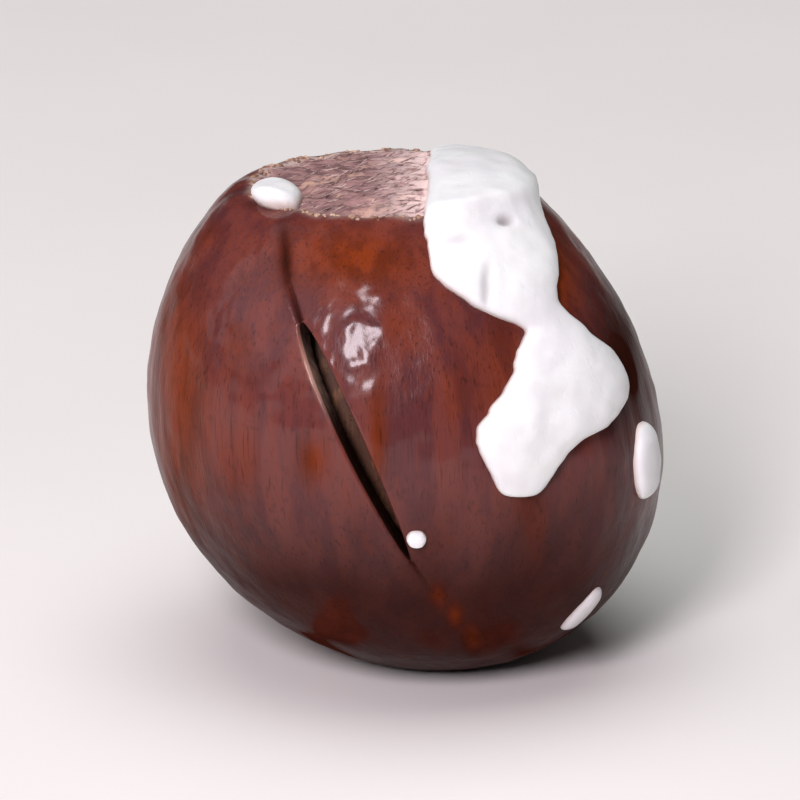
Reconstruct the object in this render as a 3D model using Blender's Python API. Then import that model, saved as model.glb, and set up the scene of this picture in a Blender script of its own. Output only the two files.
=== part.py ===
"""A roasted hazelnut in its shell, slit down one side and splashed with a white glaze that dried.

The nut stands on a small flat spot near its tip, scar up, with its front towards -Y.
The origin is the centre of that flat spot. Lengths below are millimetres.
"""

import math

import bmesh
import bpy
import numpy as np

MM = 0.001

# Places on the nut are given as its front shows them from this azimuth and elevation
FRONT = (0, 21)
# The view straight down on the scar
ABOVE = (0, 90)
# Each place is found in a few rounds, at least this deep in the view
SEEN_ROUNDS = 16
LEAST_DEPTH = 0.2

# The nut as a whole: a round body drawn out along its axis, more so towards the tip.
# Its centre is above the flat spot and a little to the left of it.
CENTRE_HEIGHT = 10.7
CENTRE_LEFT = 1.35
BODY_RADIUS = 10.36
DRAWN_OUT = 0.635
TIP_PULL = 0.53
# The scar faces along this direction, and the tip is on the other side
SCAR_DIRECTION = (-0.03, 0.105, 0.994)
# Grown lopsided: longer from the upper left to the lower right of the front
LONG_DIRECTION = (-0.827, 0.201, 0.525)
SHORT_DIRECTION = (0.562, 0.296, 0.772)
STRETCH = 0.064
PEAR_SHAPE = 0.02

# The scar: a dull, slightly domed disc with a raised rim
SCAR_HEIGHT = 8.35
SCAR_RADIUS = 5.6
SCAR_DOME = 0.35
RIM_RIDGE = 0.12
RIM_WIDTH = 0.38
EDGE_SHARPNESS = 9.0
# The scar's plane is used up to this angle from its centre
PLANE_REACH = math.radians(60)
RING_RELIEF = 0.06
RING_SPACING = 1.5
# Waves that make the rings wander: (how many, radians, turn)
RING_WAVES = ((3, 0.5, 0.0), (5, 0.3, 1.0))
# Notches in the rim: their place as a share of the scar's radius, their length and depth
NOTCHES = 18
NOTCH_PLACE = 0.93
NOTCH_LENGTH = 0.6
NOTCH_DEPTH = 0.09

# Low flats and ribs that run from the scar to the tip: (how many, height, turn)
RIBS = ((3, 0.10, 0.4), (5, 0.06, 2.1), (11, 0.035, 0.9))

# The wall, thicker by so much under the scar, out to this angle from its centre
WALL = 1.2
SCAR_WALL = 0.7
SCAR_WALL_REACH = math.radians(38)
# The hollow follows this height above the scar's plane
HOLLOW_RISE = 0.6
# The space round the kernel, its pointed end, its creases (how many, height, turn),
# and how far it has sunk to lie lower in the shell
KERNEL_GAP = 0.85
KERNEL_POINT = 0.45
KERNEL_POINT_REACH = math.radians(24)
KERNEL_CREASES = (9, 0.05, 0.7)
KERNEL_DROP = 0.12

# The slit: its upper and lower ends (right, up), and how far its middle bows to the right
SLIT_TOP_SEEN = (-3.85, 2.6)
SLIT_BOTTOM_SEEN = (0.4, -6.7)
SLIT_BOW = 0.026
# Half its width at the ends and at most. The lean moves the widest place towards the top,
# and the fullness keeps it wide towards its ends.
SLIT_END_WIDTH = 0.02
SLIT_HALF_WIDTH = 0.44
SLIT_LEAN = 0.72
SLIT_FULLNESS = 0.6
# The cut runs between these distances from the nut's centre, in this many steps
SLIT_INNER = 7.0
SLIT_OUTER = 12.5
SLIT_STEPS = 18
LIP_HEIGHT = 0.16
LIP_WIDTH = 1.1

# The glaze lies this far off the shell, so that the two stay separate solids,
# and this much further where it bridges the scar's rim
GLAZE_GAP = 0.1
GLAZE_RIM_GAP = 0.12
RIM_ANGLE = math.atan(SCAR_RADIUS / SCAR_HEIGHT)
RIM_SPREAD = math.radians(5)
# The glaze swells steeply at its sides and, by this factor, at its ends
GLAZE_SIDE_SWELL = 0.6
GLAZE_END_SWELL = 1.2

# Mesh fineness
SHELL_SEGMENTS = 72
SHELL_RINGS = 46
INSIDE_SEGMENTS = 32
INSIDE_RINGS = 18
# Share of the rings, and the angle from the scar's centre that they reach
RING_SHARES = (0.0, 0.26, 0.42, 1.0)
RING_ANGLES = (0.0, 29.5, 37.0, 180.0)
EVEN_RINGS = (0.0, 1.0), (0.0, 180.0)
# Faces that meet at more than this angle keep a crisp edge
CREASE_ANGLE = math.radians(38)
# The block that cuts the flat spot: its width and depth
BLOCK_WIDTH = 16.0
BLOCK_DEPTH = 4.0


def unit(vectors):
    """The same vectors, one long."""
    vectors = np.asarray(vectors, float)
    return vectors / np.linalg.norm(vectors, axis=-1, keepdims=True)


def side_directions(axis):
    """Two directions square to the axis and to each other."""
    first = unit(np.array((1.0, 0.0, 0.0)) - axis[0] * axis)
    return first, np.cross(axis, first)


AXIS = unit(SCAR_DIRECTION)
SIDE_A, SIDE_B = side_directions(AXIS)
LONG = unit(LONG_DIRECTION)
SHORT = unit(SHORT_DIRECTION)


def angle_and_turn(directions):
    """Angle from the scar's centre and turn about the nut's axis, in radians."""
    angle = np.arccos(np.clip(directions @ AXIS, -1.0, 1.0))
    return angle, np.arctan2(directions @ SIDE_B, directions @ SIDE_A)


def body_radius(directions):
    """Radius of the plump body, without scar, ribs or slit."""
    angle, _ = angle_and_turn(directions)
    radius = BODY_RADIUS - TIP_PULL * np.cos(angle) + DRAWN_OUT * np.cos(2 * angle)
    long, short = directions @ LONG, directions @ SHORT
    lopsided = STRETCH * (long**2 - short**2) - PEAR_SHAPE * (long**3 - 3 * long * short**2)
    return radius * (1 + lopsided)


def view_frame(azimuth, elevation):
    """Right, up and towards-the-viewer directions of a view, for azimuth 0 the front."""
    turn, lift = math.radians(azimuth), math.radians(elevation)
    right = np.array((math.cos(turn), math.sin(turn), 0.0))
    towards = np.array((math.sin(turn), -math.cos(turn), 0.0)) * math.cos(lift)
    towards = towards + np.array((0.0, 0.0, math.sin(lift)))
    return right, np.cross(towards, right), towards


def seen_at(view, right_mm, up_mm, radius_of):
    """Directions of the points of a surface that a view shows at these places."""
    right, up, towards = view_frame(*view)
    flat = np.outer(right_mm, right) + np.outer(up_mm, up)
    radius = np.full(len(flat), BODY_RADIUS)
    for _ in range(SEEN_ROUNDS):
        depth = np.sqrt(np.maximum(radius**2 - (flat**2).sum(axis=1), LEAST_DEPTH**2))
        directions = unit(flat + depth[:, None] * towards)
        radius = radius_of(directions)
    return directions


def rib_height(directions):
    """Height of the low ribs, which fade towards the scar and the tip."""
    angle, turn = angle_and_turn(directions)
    fade = np.sin(angle) ** 2
    return sum(height * fade * np.cos(count * turn + start) for count, height, start in RIBS)


def scar_relief(across, turn):
    """Height of the dome, the rings and the notched rim above the scar's plane."""
    share = across / SCAR_RADIUS
    dome = SCAR_DOME * (1 - share**2)
    wander = sum(wave * np.sin(count * turn + start) for count, wave, start in RING_WAVES)
    rings = RING_RELIEF * np.cos(2 * math.pi * across / RING_SPACING + wander)
    rings = rings * np.clip(share * 2, 0, 1)
    near_rim = np.exp(-(((share - NOTCH_PLACE) * SCAR_RADIUS / NOTCH_LENGTH) ** 2))
    notches = NOTCH_DEPTH * near_rim * (1 + np.cos(NOTCHES * turn)) / 2
    return dome + rings - notches


SLIT_TOP, SLIT_BOTTOM = seen_at(FRONT, *zip(SLIT_TOP_SEEN, SLIT_BOTTOM_SEEN), body_radius)
SLIT_ARC = math.acos(float(SLIT_TOP @ SLIT_BOTTOM))
SLIT_SQUARE = unit(np.cross(SLIT_TOP, SLIT_BOTTOM))


def slit_direction(share):
    """Direction of the slit's middle line, at a share of the way from its upper end."""
    from_top = np.sin(share * SLIT_ARC) / math.sin(SLIT_ARC)
    from_bottom = np.sin((1 - share) * SLIT_ARC) / math.sin(SLIT_ARC)
    bow = SLIT_BOW * 4 * share * (1 - share)
    return unit(from_bottom * SLIT_TOP + from_top * SLIT_BOTTOM + bow * SLIT_SQUARE)


def slit_lip(directions):
    """Height of the slit's left lip, which the roasting lifted."""
    forward = np.cross(SLIT_SQUARE, SLIT_TOP)
    share = np.arctan2(directions @ forward, directions @ SLIT_TOP) / SLIT_ARC
    share = np.clip(share, 0, 1)
    bow = SLIT_BOW * 4 * share * (1 - share)
    beside = (bow - directions @ SLIT_SQUARE) * BODY_RADIUS
    rise = np.where(beside > 0, np.exp(-((beside / LIP_WIDTH) ** 2)), 0.0)
    return LIP_HEIGHT * rise * np.sin(math.pi * share)


def cut_off(body, angle, height):
    """The body's radius where a disc at this height cuts it off, with a slightly soft edge."""
    disc = height / np.cos(np.minimum(angle, PLANE_REACH))
    return disc - np.log(np.exp(EDGE_SHARPNESS * (disc - body)) + 1) / EDGE_SHARPNESS


def smooth_radius(directions):
    """Radius of the outside without ribs, lip or relief."""
    angle, _ = angle_and_turn(directions)
    return cut_off(body_radius(directions), angle, SCAR_HEIGHT)


def shell_radius(directions):
    """Radius of the finished outside, scar and all."""
    angle, turn = angle_and_turn(directions)
    body = body_radius(directions) + rib_height(directions) + slit_lip(directions)
    across = SCAR_HEIGHT * np.tan(np.minimum(angle, PLANE_REACH))
    relief = scar_relief(np.minimum(across, SCAR_RADIUS), turn)
    ridge = RIM_RIDGE * np.exp(-(((across - SCAR_RADIUS) / RIM_WIDTH) ** 2))
    return cut_off(body, angle, SCAR_HEIGHT + relief) + ridge


def cavity_radius(directions):
    """Radius of the smooth hollow inside, with a thicker wall under the scar."""
    angle, _ = angle_and_turn(directions)
    under_scar = SCAR_WALL * np.exp(-((angle / SCAR_WALL_REACH) ** 2))
    plane = SCAR_HEIGHT / np.cos(np.minimum(angle, PLANE_REACH))
    outside = np.minimum(body_radius(directions), plane + HOLLOW_RISE)
    return outside - WALL - under_scar


def kernel_radius(directions):
    """Radius of the kernel, blunt below the scar and drawn to a point at the tip."""
    angle, turn = angle_and_turn(directions)
    point = KERNEL_POINT * np.exp(-(((math.pi - angle) / KERNEL_POINT_REACH) ** 2))
    count, height, start = KERNEL_CREASES
    creases = height * np.sin(angle) ** 2 * np.cos(count * turn + start)
    return cavity_radius(directions) - KERNEL_GAP + point + creases


def new_object(name, mesh_data, collection, parent):
    """A mesh object in a collection, placed by its parent."""
    mesh = bpy.data.meshes.new(name)
    mesh_data.to_mesh(mesh)
    mesh_data.free()
    made = bpy.data.objects.new(name, mesh)
    collection.objects.link(made)
    made.parent = parent
    return made


def facing_out(shape):
    """Turns the faces of a closed shape outwards."""
    bmesh.ops.recalc_face_normals(shape, faces=shape.faces)
    if shape.calc_volume(signed=True) < 0:
        bmesh.ops.reverse_faces(shape, faces=shape.faces)
    return shape


def round_body(segments, rings):
    """A unit sphere whose poles are on the nut's axis."""
    sphere = bmesh.new()
    bmesh.ops.create_uvsphere(sphere, u_segments=segments, v_segments=rings, radius=1.0)
    return sphere


def shaped_by(sphere, radius_of, shares, angles):
    """Moves each ring of a sphere to its angle, and each point to its radius."""
    points = np.array([vertex.co[:] for vertex in sphere.verts])
    share = np.arccos(np.clip(points[:, 2], -1, 1)) / math.pi
    angle = np.radians(np.interp(share, shares, angles))
    turn = np.arctan2(points[:, 1], points[:, 0])
    flat = np.outer(np.cos(turn), SIDE_A) + np.outer(np.sin(turn), SIDE_B)
    directions = np.cos(angle)[:, None] * AXIS + np.sin(angle)[:, None] * flat
    placed = directions * radius_of(directions)[:, None] * MM
    for vertex, place in zip(sphere.verts, placed):
        vertex.co = place
    return facing_out(sphere)


def slit_width(share):
    """Half the slit's width: widest above its middle, pointed at both ends."""
    return SLIT_END_WIDTH + SLIT_HALF_WIDTH * np.sin(math.pi * share**SLIT_LEAN) ** SLIT_FULLNESS


def slit_blade():
    """A curved blade as wide as the slit, from outside the shell to inside its hollow."""
    blade = bmesh.new()
    bmesh.ops.create_cube(blade, size=1.0)
    long_edges = [e for e in blade.edges if abs(e.verts[0].co.x - e.verts[1].co.x) > 0.5]
    bmesh.ops.subdivide_edges(blade, edges=long_edges, cuts=SLIT_STEPS - 1)
    for vertex in blade.verts:
        share = vertex.co.x + 0.5
        middle = slit_direction(share)
        radius = SLIT_OUTER if vertex.co.z > 0 else SLIT_INNER
        offset = math.copysign(float(slit_width(share)), vertex.co.y)
        vertex.co = (middle * radius + SLIT_SQUARE * offset) * MM
    return facing_out(blade)


def floor_block():
    """A block whose top is the floor, which cuts the flat spot."""
    block = bmesh.new()
    bmesh.ops.create_cube(block, size=1.0)
    for vertex in block.verts:
        below = 0 if vertex.co.z > 0 else BLOCK_DEPTH
        vertex.co.xy *= BLOCK_WIDTH * MM
        vertex.co.z = -(CENTRE_HEIGHT + below) * MM
    return block


def through_rows(rows, share):
    """A smooth value at a share of the way through rows of numbers, evenly spaced."""
    rows = np.asarray(rows, float)
    place = np.clip(share, 0, 1) * (len(rows) - 1)
    low = np.minimum(place.astype(int), len(rows) - 2)
    t = (place - low)[:, None]
    before, after = rows[np.maximum(low - 1, 0)], rows[np.minimum(low + 2, len(rows) - 1)]
    here, there = rows[low], rows[low + 1]
    slope_here, slope_there = (there - before) / 2, (after - here) / 2
    return (
        here * (2 * t**3 - 3 * t**2 + 1)
        + slope_here * (t**3 - 2 * t**2 + t)
        + there * (3 * t**2 - 2 * t**3)
        + slope_there * (t**3 - t**2)
    )


def glaze_underside(directions):
    """Radius of the side of the glaze that lies along the shell."""
    angle, _ = angle_and_turn(directions)
    off_rim = (angle - RIM_ANGLE) / RIM_SPREAD
    return shell_radius(directions) + GLAZE_GAP + GLAZE_RIM_GAP * np.exp(-(off_rim**2))


def row_edges(stretches):
    """Directions of each row's left and right edge, and its thickness.

    A stretch is a view and its rows of (right, up, half width, thickness).
    """
    found = []
    for view, rows in stretches:
        right_mm, up_mm, half_width, thickness = np.array(rows).T
        left = seen_at(view, right_mm - half_width, up_mm, smooth_radius)
        right = seen_at(view, right_mm + half_width, up_mm, smooth_radius)
        found.append(np.hstack((left, right, thickness[:, None])))
    return np.concatenate(found)


def glaze_body(stretches, segments, rings, squareness):
    """A splash of glaze on the shell, through the rows of its stretches.

    It starts as a sphere whose poles are the ends of the splash. One half of it lies along
    the shell, and the other swells to the thickness.
    """
    sphere = round_body(segments, rings)
    points = np.array([vertex.co[:] for vertex in sphere.verts])
    along = np.clip(points[:, 2], -1, 1)
    turn = np.arctan2(points[:, 1], points[:, 0])
    end = (1 - np.abs(along) ** squareness) ** (1 / squareness)
    row = through_rows(row_edges(stretches), (1 - along) / 2)
    left, right, thickness = np.split(row, (3, 6), axis=1)
    beside = (1 + end * np.cos(turn))[:, None] / 2
    directions = unit(left * (1 - beside) + right * beside)
    swell = np.clip(np.sin(turn), 0, 1) ** GLAZE_SIDE_SWELL
    swell = swell * np.minimum(end * GLAZE_END_SWELL, 1)
    radius = glaze_underside(directions) + thickness[:, 0] * swell
    for vertex, place in zip(sphere.verts, directions * radius[:, None] * MM):
        vertex.co = place
    return facing_out(sphere)


def linear(red, green, blue):
    """A colour read from the photograph, as a shader takes it."""
    return tuple(((c / 255 + 0.055) / 1.055) ** 2.4 for c in (red, green, blue)) + (1.0,)


def material(name, colour, roughness):
    """A plain finish with one colour and one gloss."""
    made = bpy.data.materials.new(name)
    made.use_nodes = True
    shader = made.node_tree.nodes["Principled BSDF"]
    shader.inputs["Base Color"].default_value = colour
    shader.inputs["Roughness"].default_value = roughness
    shader.inputs["Metallic"].default_value = 0.0
    return made


def cut(piece, cutter):
    """Takes the cutter's shape out of the piece."""
    boolean = piece.modifiers.new("cut " + cutter.name, "BOOLEAN")
    boolean.operation = "DIFFERENCE"
    boolean.solver = "EXACT"
    boolean.object = cutter


def as_cutter(helper):
    """Keeps a helper out of the render and shows it as wires."""
    helper.hide_render = True
    helper.display_type = "WIRE"
    return helper


def finished(piece, finish):
    """Gives a piece its finish and smooth shading with crisp cut edges."""
    piece.data.materials.append(finish)
    piece.data.shade_smooth()
    piece.data.set_sharp_from_angle(angle=CREASE_ANGLE)
    return piece


# The big patch of glaze as the front shows it, from the scar's near edge down
RUN_IN_FRONT = (
    (3.15, 6.85, 2.2, 0.62),
    (3.33, 6.15, 2.3, 0.58),
    (3.53, 5.5, 2.33, 0.55),
    (3.6, 4.8, 2.4, 0.55),
    (3.78, 4.1, 2.25, 0.55),
    (4.25, 3.45, 1.75, 0.5),
    (4.95, 2.9, 1.4, 0.45),
    (5.85, 2.4, 1.1, 0.42),
    (6.05, 2.0, 1.28, 0.45),
    (6.28, 1.4, 1.85, 0.5),
    (6.4, 0.7, 2.08, 0.58),
    (6.25, 0.0, 2.32, 0.6),
    (6.0, -0.65, 2.4, 0.62),
    (5.4, -1.35, 2.42, 0.62),
    (4.88, -2.0, 2.1, 0.6),
    (4.77, -2.7, 1.78, 0.55),
    (4.68, -3.4, 1.55, 0.5),
    (4.6, -4.1, 1.35, 0.45),
)
# Splashes of glaze: name, stretches, how square the ends are, and fineness (segments, rings).
# A stretch is a view (azimuth, elevation) and its rows of (right, up, half width, thickness).
GLAZE = (
    (
        "glaze_run",
        (
            (
                ABOVE,
                (
                    (2.5, 7.25, 0.85, 0.3),
                    (2.6, 6.65, 1.2, 0.28),
                    (2.7, 5.9, 1.6, 0.2),
                    (2.8, 5.0, 1.8, 0.22),
                    (2.95, 3.7, 1.84, 0.35),
                    (2.92, 2.2, 1.95, 0.5),
                    (3.05, 0.6, 2.08, 0.6),
                ),
            ),
            (FRONT, RUN_IN_FRONT),
        ),
        4.0,
        (18, 48),
    ),
    (
        "glaze_scar_drop",
        ((FRONT, ((-4.62, 7.65, 0.85, 0.7), (-4.6, 7.3, 0.95, 0.7), (-4.6, 6.95, 0.85, 0.7))),),
        2.0,
        (14, 10),
    ),
    (
        "glaze_side_drop",
        (((66, 0), ((0.1, 0.2, 0.8, 0.35), (0.0, -1.3, 1.0, 0.4), (-0.1, -2.8, 0.8, 0.35))),),
        2.0,
        (12, 9),
    ),
    (
        "glaze_slit_drop",
        ((FRONT, ((0.63, -5.45, 0.34, 0.3), (0.63, -5.72, 0.39, 0.32), (0.63, -6.0, 0.34, 0.3))),),
        2.0,
        (10, 6),
    ),
    (
        "glaze_low_streak",
        (((50, -37), ((0.75, 0.8, 0.36, 0.2), (0.4, -0.3, 0.48, 0.22), (0.05, -1.4, 0.36, 0.2))),),
        2.0,
        (10, 8),
    ),
    (
        "glaze_back_run",
        (
            (
                (190, 25),
                (
                    (1.9, 2.9, 0.9, 0.5),
                    (1.9, 2.0, 1.3, 0.55),
                    (1.4, 0.9, 1.1, 0.5),
                    (0.9, -0.4, 0.7, 0.4),
                    (0.8, -1.8, 0.8, 0.45),
                    (1.0, -3.0, 1.1, 0.5),
                    (1.1, -4.0, 0.8, 0.4),
                ),
            ),
        ),
        3.0,
        (12, 18),
    ),
    (
        "glaze_back_drop",
        (((150, 5), ((0.2, 1.4, 0.9, 0.4), (0.3, 0.3, 1.1, 0.45), (0.5, -0.9, 0.8, 0.4))),),
        2.0,
        (12, 8),
    ),
    (
        "glaze_left_drop",
        (((-118, -15), ((-0.3, 0.9, 0.7, 0.4), (-0.1, -0.1, 0.95, 0.45), (0.1, -1.1, 0.75, 0.4))),),
        2.0,
        (12, 8),
    ),
)


def build():
    """Clears the scene and makes the nut."""
    for left_over in list(bpy.data.objects):
        bpy.data.objects.remove(left_over, do_unlink=True)
    nut = bpy.data.collections.new("hazelnut")
    cutters = bpy.data.collections.new("cutters")
    bpy.context.scene.collection.children.link(nut)
    bpy.context.scene.collection.children.link(cutters)

    centre = bpy.data.objects.new("nut_centre", None)
    centre.location = (-CENTRE_LEFT * MM, 0, CENTRE_HEIGHT * MM)
    nut.objects.link(centre)

    skin = round_body(SHELL_SEGMENTS, SHELL_RINGS)
    outside = shaped_by(skin, shell_radius, RING_SHARES, RING_ANGLES)
    shell = new_object("shell", outside, nut, centre)
    hollow = shaped_by(round_body(INSIDE_SEGMENTS, INSIDE_RINGS), cavity_radius, *EVEN_RINGS)
    cut(shell, as_cutter(new_object("hollow", hollow, cutters, centre)))
    cut(shell, as_cutter(new_object("slit_blade", slit_blade(), cutters, centre)))
    cut(shell, as_cutter(new_object("floor_block", floor_block(), cutters, centre)))
    finished(shell, material("roasted_shell", linear(119, 64, 58), 0.35))

    seed = shaped_by(round_body(INSIDE_SEGMENTS, INSIDE_RINGS), kernel_radius, *EVEN_RINGS)
    kernel = new_object("kernel", seed, nut, centre)
    kernel.location = (0, 0, -KERNEL_DROP * MM)
    finished(kernel, material("kernel_skin", linear(112, 66, 38), 0.6))

    white = material("dried_glaze", linear(246, 244, 247), 0.4)
    for name, stretches, squareness, fineness in GLAZE:
        splash = glaze_body(stretches, *fineness, squareness)
        finished(new_object(name, splash, nut, centre), white)


build()
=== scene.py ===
"""Looks of a roasted hazelnut in its shell, slit down one side and splashed with dried glaze.

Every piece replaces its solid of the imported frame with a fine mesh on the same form. Lengths
of the nut's form are millimetres from its centre; the meshes are metres in the frame.
"""

import logging
import math
from collections.abc import Callable
from dataclasses import dataclass, field
from enum import Enum

import bmesh
import bpy
import numpy as np
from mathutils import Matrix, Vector, noise

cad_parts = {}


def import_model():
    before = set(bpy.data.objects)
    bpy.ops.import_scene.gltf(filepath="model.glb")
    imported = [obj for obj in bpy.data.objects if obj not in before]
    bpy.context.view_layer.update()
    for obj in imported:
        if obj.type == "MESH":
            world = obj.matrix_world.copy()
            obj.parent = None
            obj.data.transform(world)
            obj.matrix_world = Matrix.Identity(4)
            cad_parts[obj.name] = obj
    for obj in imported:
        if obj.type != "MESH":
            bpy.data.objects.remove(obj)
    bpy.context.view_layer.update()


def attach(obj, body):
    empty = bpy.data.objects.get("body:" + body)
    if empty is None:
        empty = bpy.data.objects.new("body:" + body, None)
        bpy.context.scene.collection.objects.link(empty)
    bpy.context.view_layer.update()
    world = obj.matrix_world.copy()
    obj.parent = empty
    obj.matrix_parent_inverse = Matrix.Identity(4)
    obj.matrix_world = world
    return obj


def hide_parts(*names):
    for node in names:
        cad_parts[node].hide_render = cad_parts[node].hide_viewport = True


Array = np.ndarray
Colour = tuple[float, float, float]
Row = tuple[float, float, float, float]
View = tuple[float, float]
Stretch = tuple[View, tuple[Row, ...]]
Face = tuple[int, ...]
Span = tuple[float, float]
Piece = bpy.types.Object
Socket = bpy.types.NodeSocket
Tree = bpy.types.NodeTree
Material = bpy.types.Material

LOG = logging.getLogger("hazelnut")
MM = 0.001
TURN = 2 * math.pi

# Each place is found in a few rounds, at least this deep in the view
SEEN_ROUNDS = 16
LEAST_DEPTH = 0.2
# Views as azimuth and elevation in degrees
FRONT: View = (0.0, 21.0)
ABOVE: View = (0.0, 90.0)


class Slot(Enum):
    """The record's material slots."""

    SHELL = "roasted_shell"
    KERNEL = "kernel_skin"
    GLAZE = "dried_glaze"


class Mask(Enum):
    """Attributes that say where on the shell a point lies."""

    SCAR = "scar"
    # Painted highlight along the scar's rim, stronger at the back.
    RIM = "rim"
    CUT = "cut"
    # Painted highlight on a stretch of the slit's left lip.
    LIP = "lip"
    INSIDE = "inside"
    RUST = "rust"
    # Painted shade: the right side, lines along the cracks, and the tip, which is partly a darker
    # roast.
    SHADE = "shade"


class Grain(Enum):
    """What the scar is strewn with."""

    FIBRE = "fibre"
    CRUMB = "crumb"


def unit(vectors: Array) -> Array:
    """Vectors of the same directions, one long."""
    vectors = np.asarray(vectors, float)
    return vectors / np.linalg.norm(vectors, axis=-1, keepdims=True)


def ramp(values: Array, low: float, high: float) -> Array:
    """A smooth rise from 0 at low to 1 at high.

    Args:
        values: Where the rise is read.
        low: Value at which it starts; above high for a fall.
        high: Value at which it is complete.

    Returns:
        Numbers from 0 to 1.
    """
    share = np.clip((values - low) / (high - low), 0.0, 1.0)
    return share * share * (3 - 2 * share)


def bump(values: Array, centre: float, width: float) -> Array:
    """A bell of height 1 about the centre."""
    return np.exp(-(((values - centre) / width) ** 2))


def grainy(places: Array, seed: float, octaves: int = 1) -> Array:
    """Smooth noise at some places.

    Args:
        places: Points, a unit apart where the noise should differ.
        seed: Shifts the pattern.
        octaves: How many finer layers it has.

    Returns:
        Numbers about 0, mostly from -1 to 1.
    """
    shift = Vector((seed * 17.3, seed * -5.1, seed * 9.7))
    layered = [noise.fractal(Vector(place) + shift, 1.0, 2.0, octaves) for place in places]
    return np.array(layered)


def linear(red: float, green: float, blue: float) -> tuple[float, float, float, float]:
    """A colour given as a screen shows it, 0 to 255, as a shader takes it."""
    parts = [((c / 255 + 0.055) / 1.055) ** 2.4 for c in (red, green, blue)]
    return parts[0], parts[1], parts[2], 1.0


def view_frame(view: View) -> tuple[Array, Array, Array]:
    """Right, up and towards-the-viewer directions of a view.

    Args:
        view: Azimuth and elevation in degrees, azimuth 0 being the front.

    Returns:
        Three directions square to each other.
    """
    turn, lift = (math.radians(angle) for angle in view)
    right = np.array((math.cos(turn), math.sin(turn), 0.0))
    flat = np.array((math.sin(turn), -math.cos(turn), 0.0))
    towards = flat * math.cos(lift) + np.array((0.0, 0.0, math.sin(lift)))
    return right, np.cross(towards, right), towards


def through_rows(rows: Array, share: Array) -> Array:
    """Smooth values at shares of the way through evenly spaced rows of numbers.

    Args:
        rows: Rows of equal length.
        share: Places from 0, the first row, to 1, the last.

    Returns:
        One row for each share.
    """
    place = np.clip(share, 0, 1) * (len(rows) - 1)
    low = np.minimum(place.astype(int), len(rows) - 2)
    t = (place - low)[:, None]
    before, after = rows[np.maximum(low - 1, 0)], rows[np.minimum(low + 2, len(rows) - 1)]
    here, there = rows[low], rows[low + 1]
    slope_here, slope_there = (there - before) / 2, (after - here) / 2
    return (
        here * (2 * t**3 - 3 * t**2 + 1)
        + slope_here * (t**3 - 2 * t**2 + t)
        + there * (3 * t**2 - 2 * t**3)
        + slope_there * (t**3 - t**2)
    )


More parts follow.
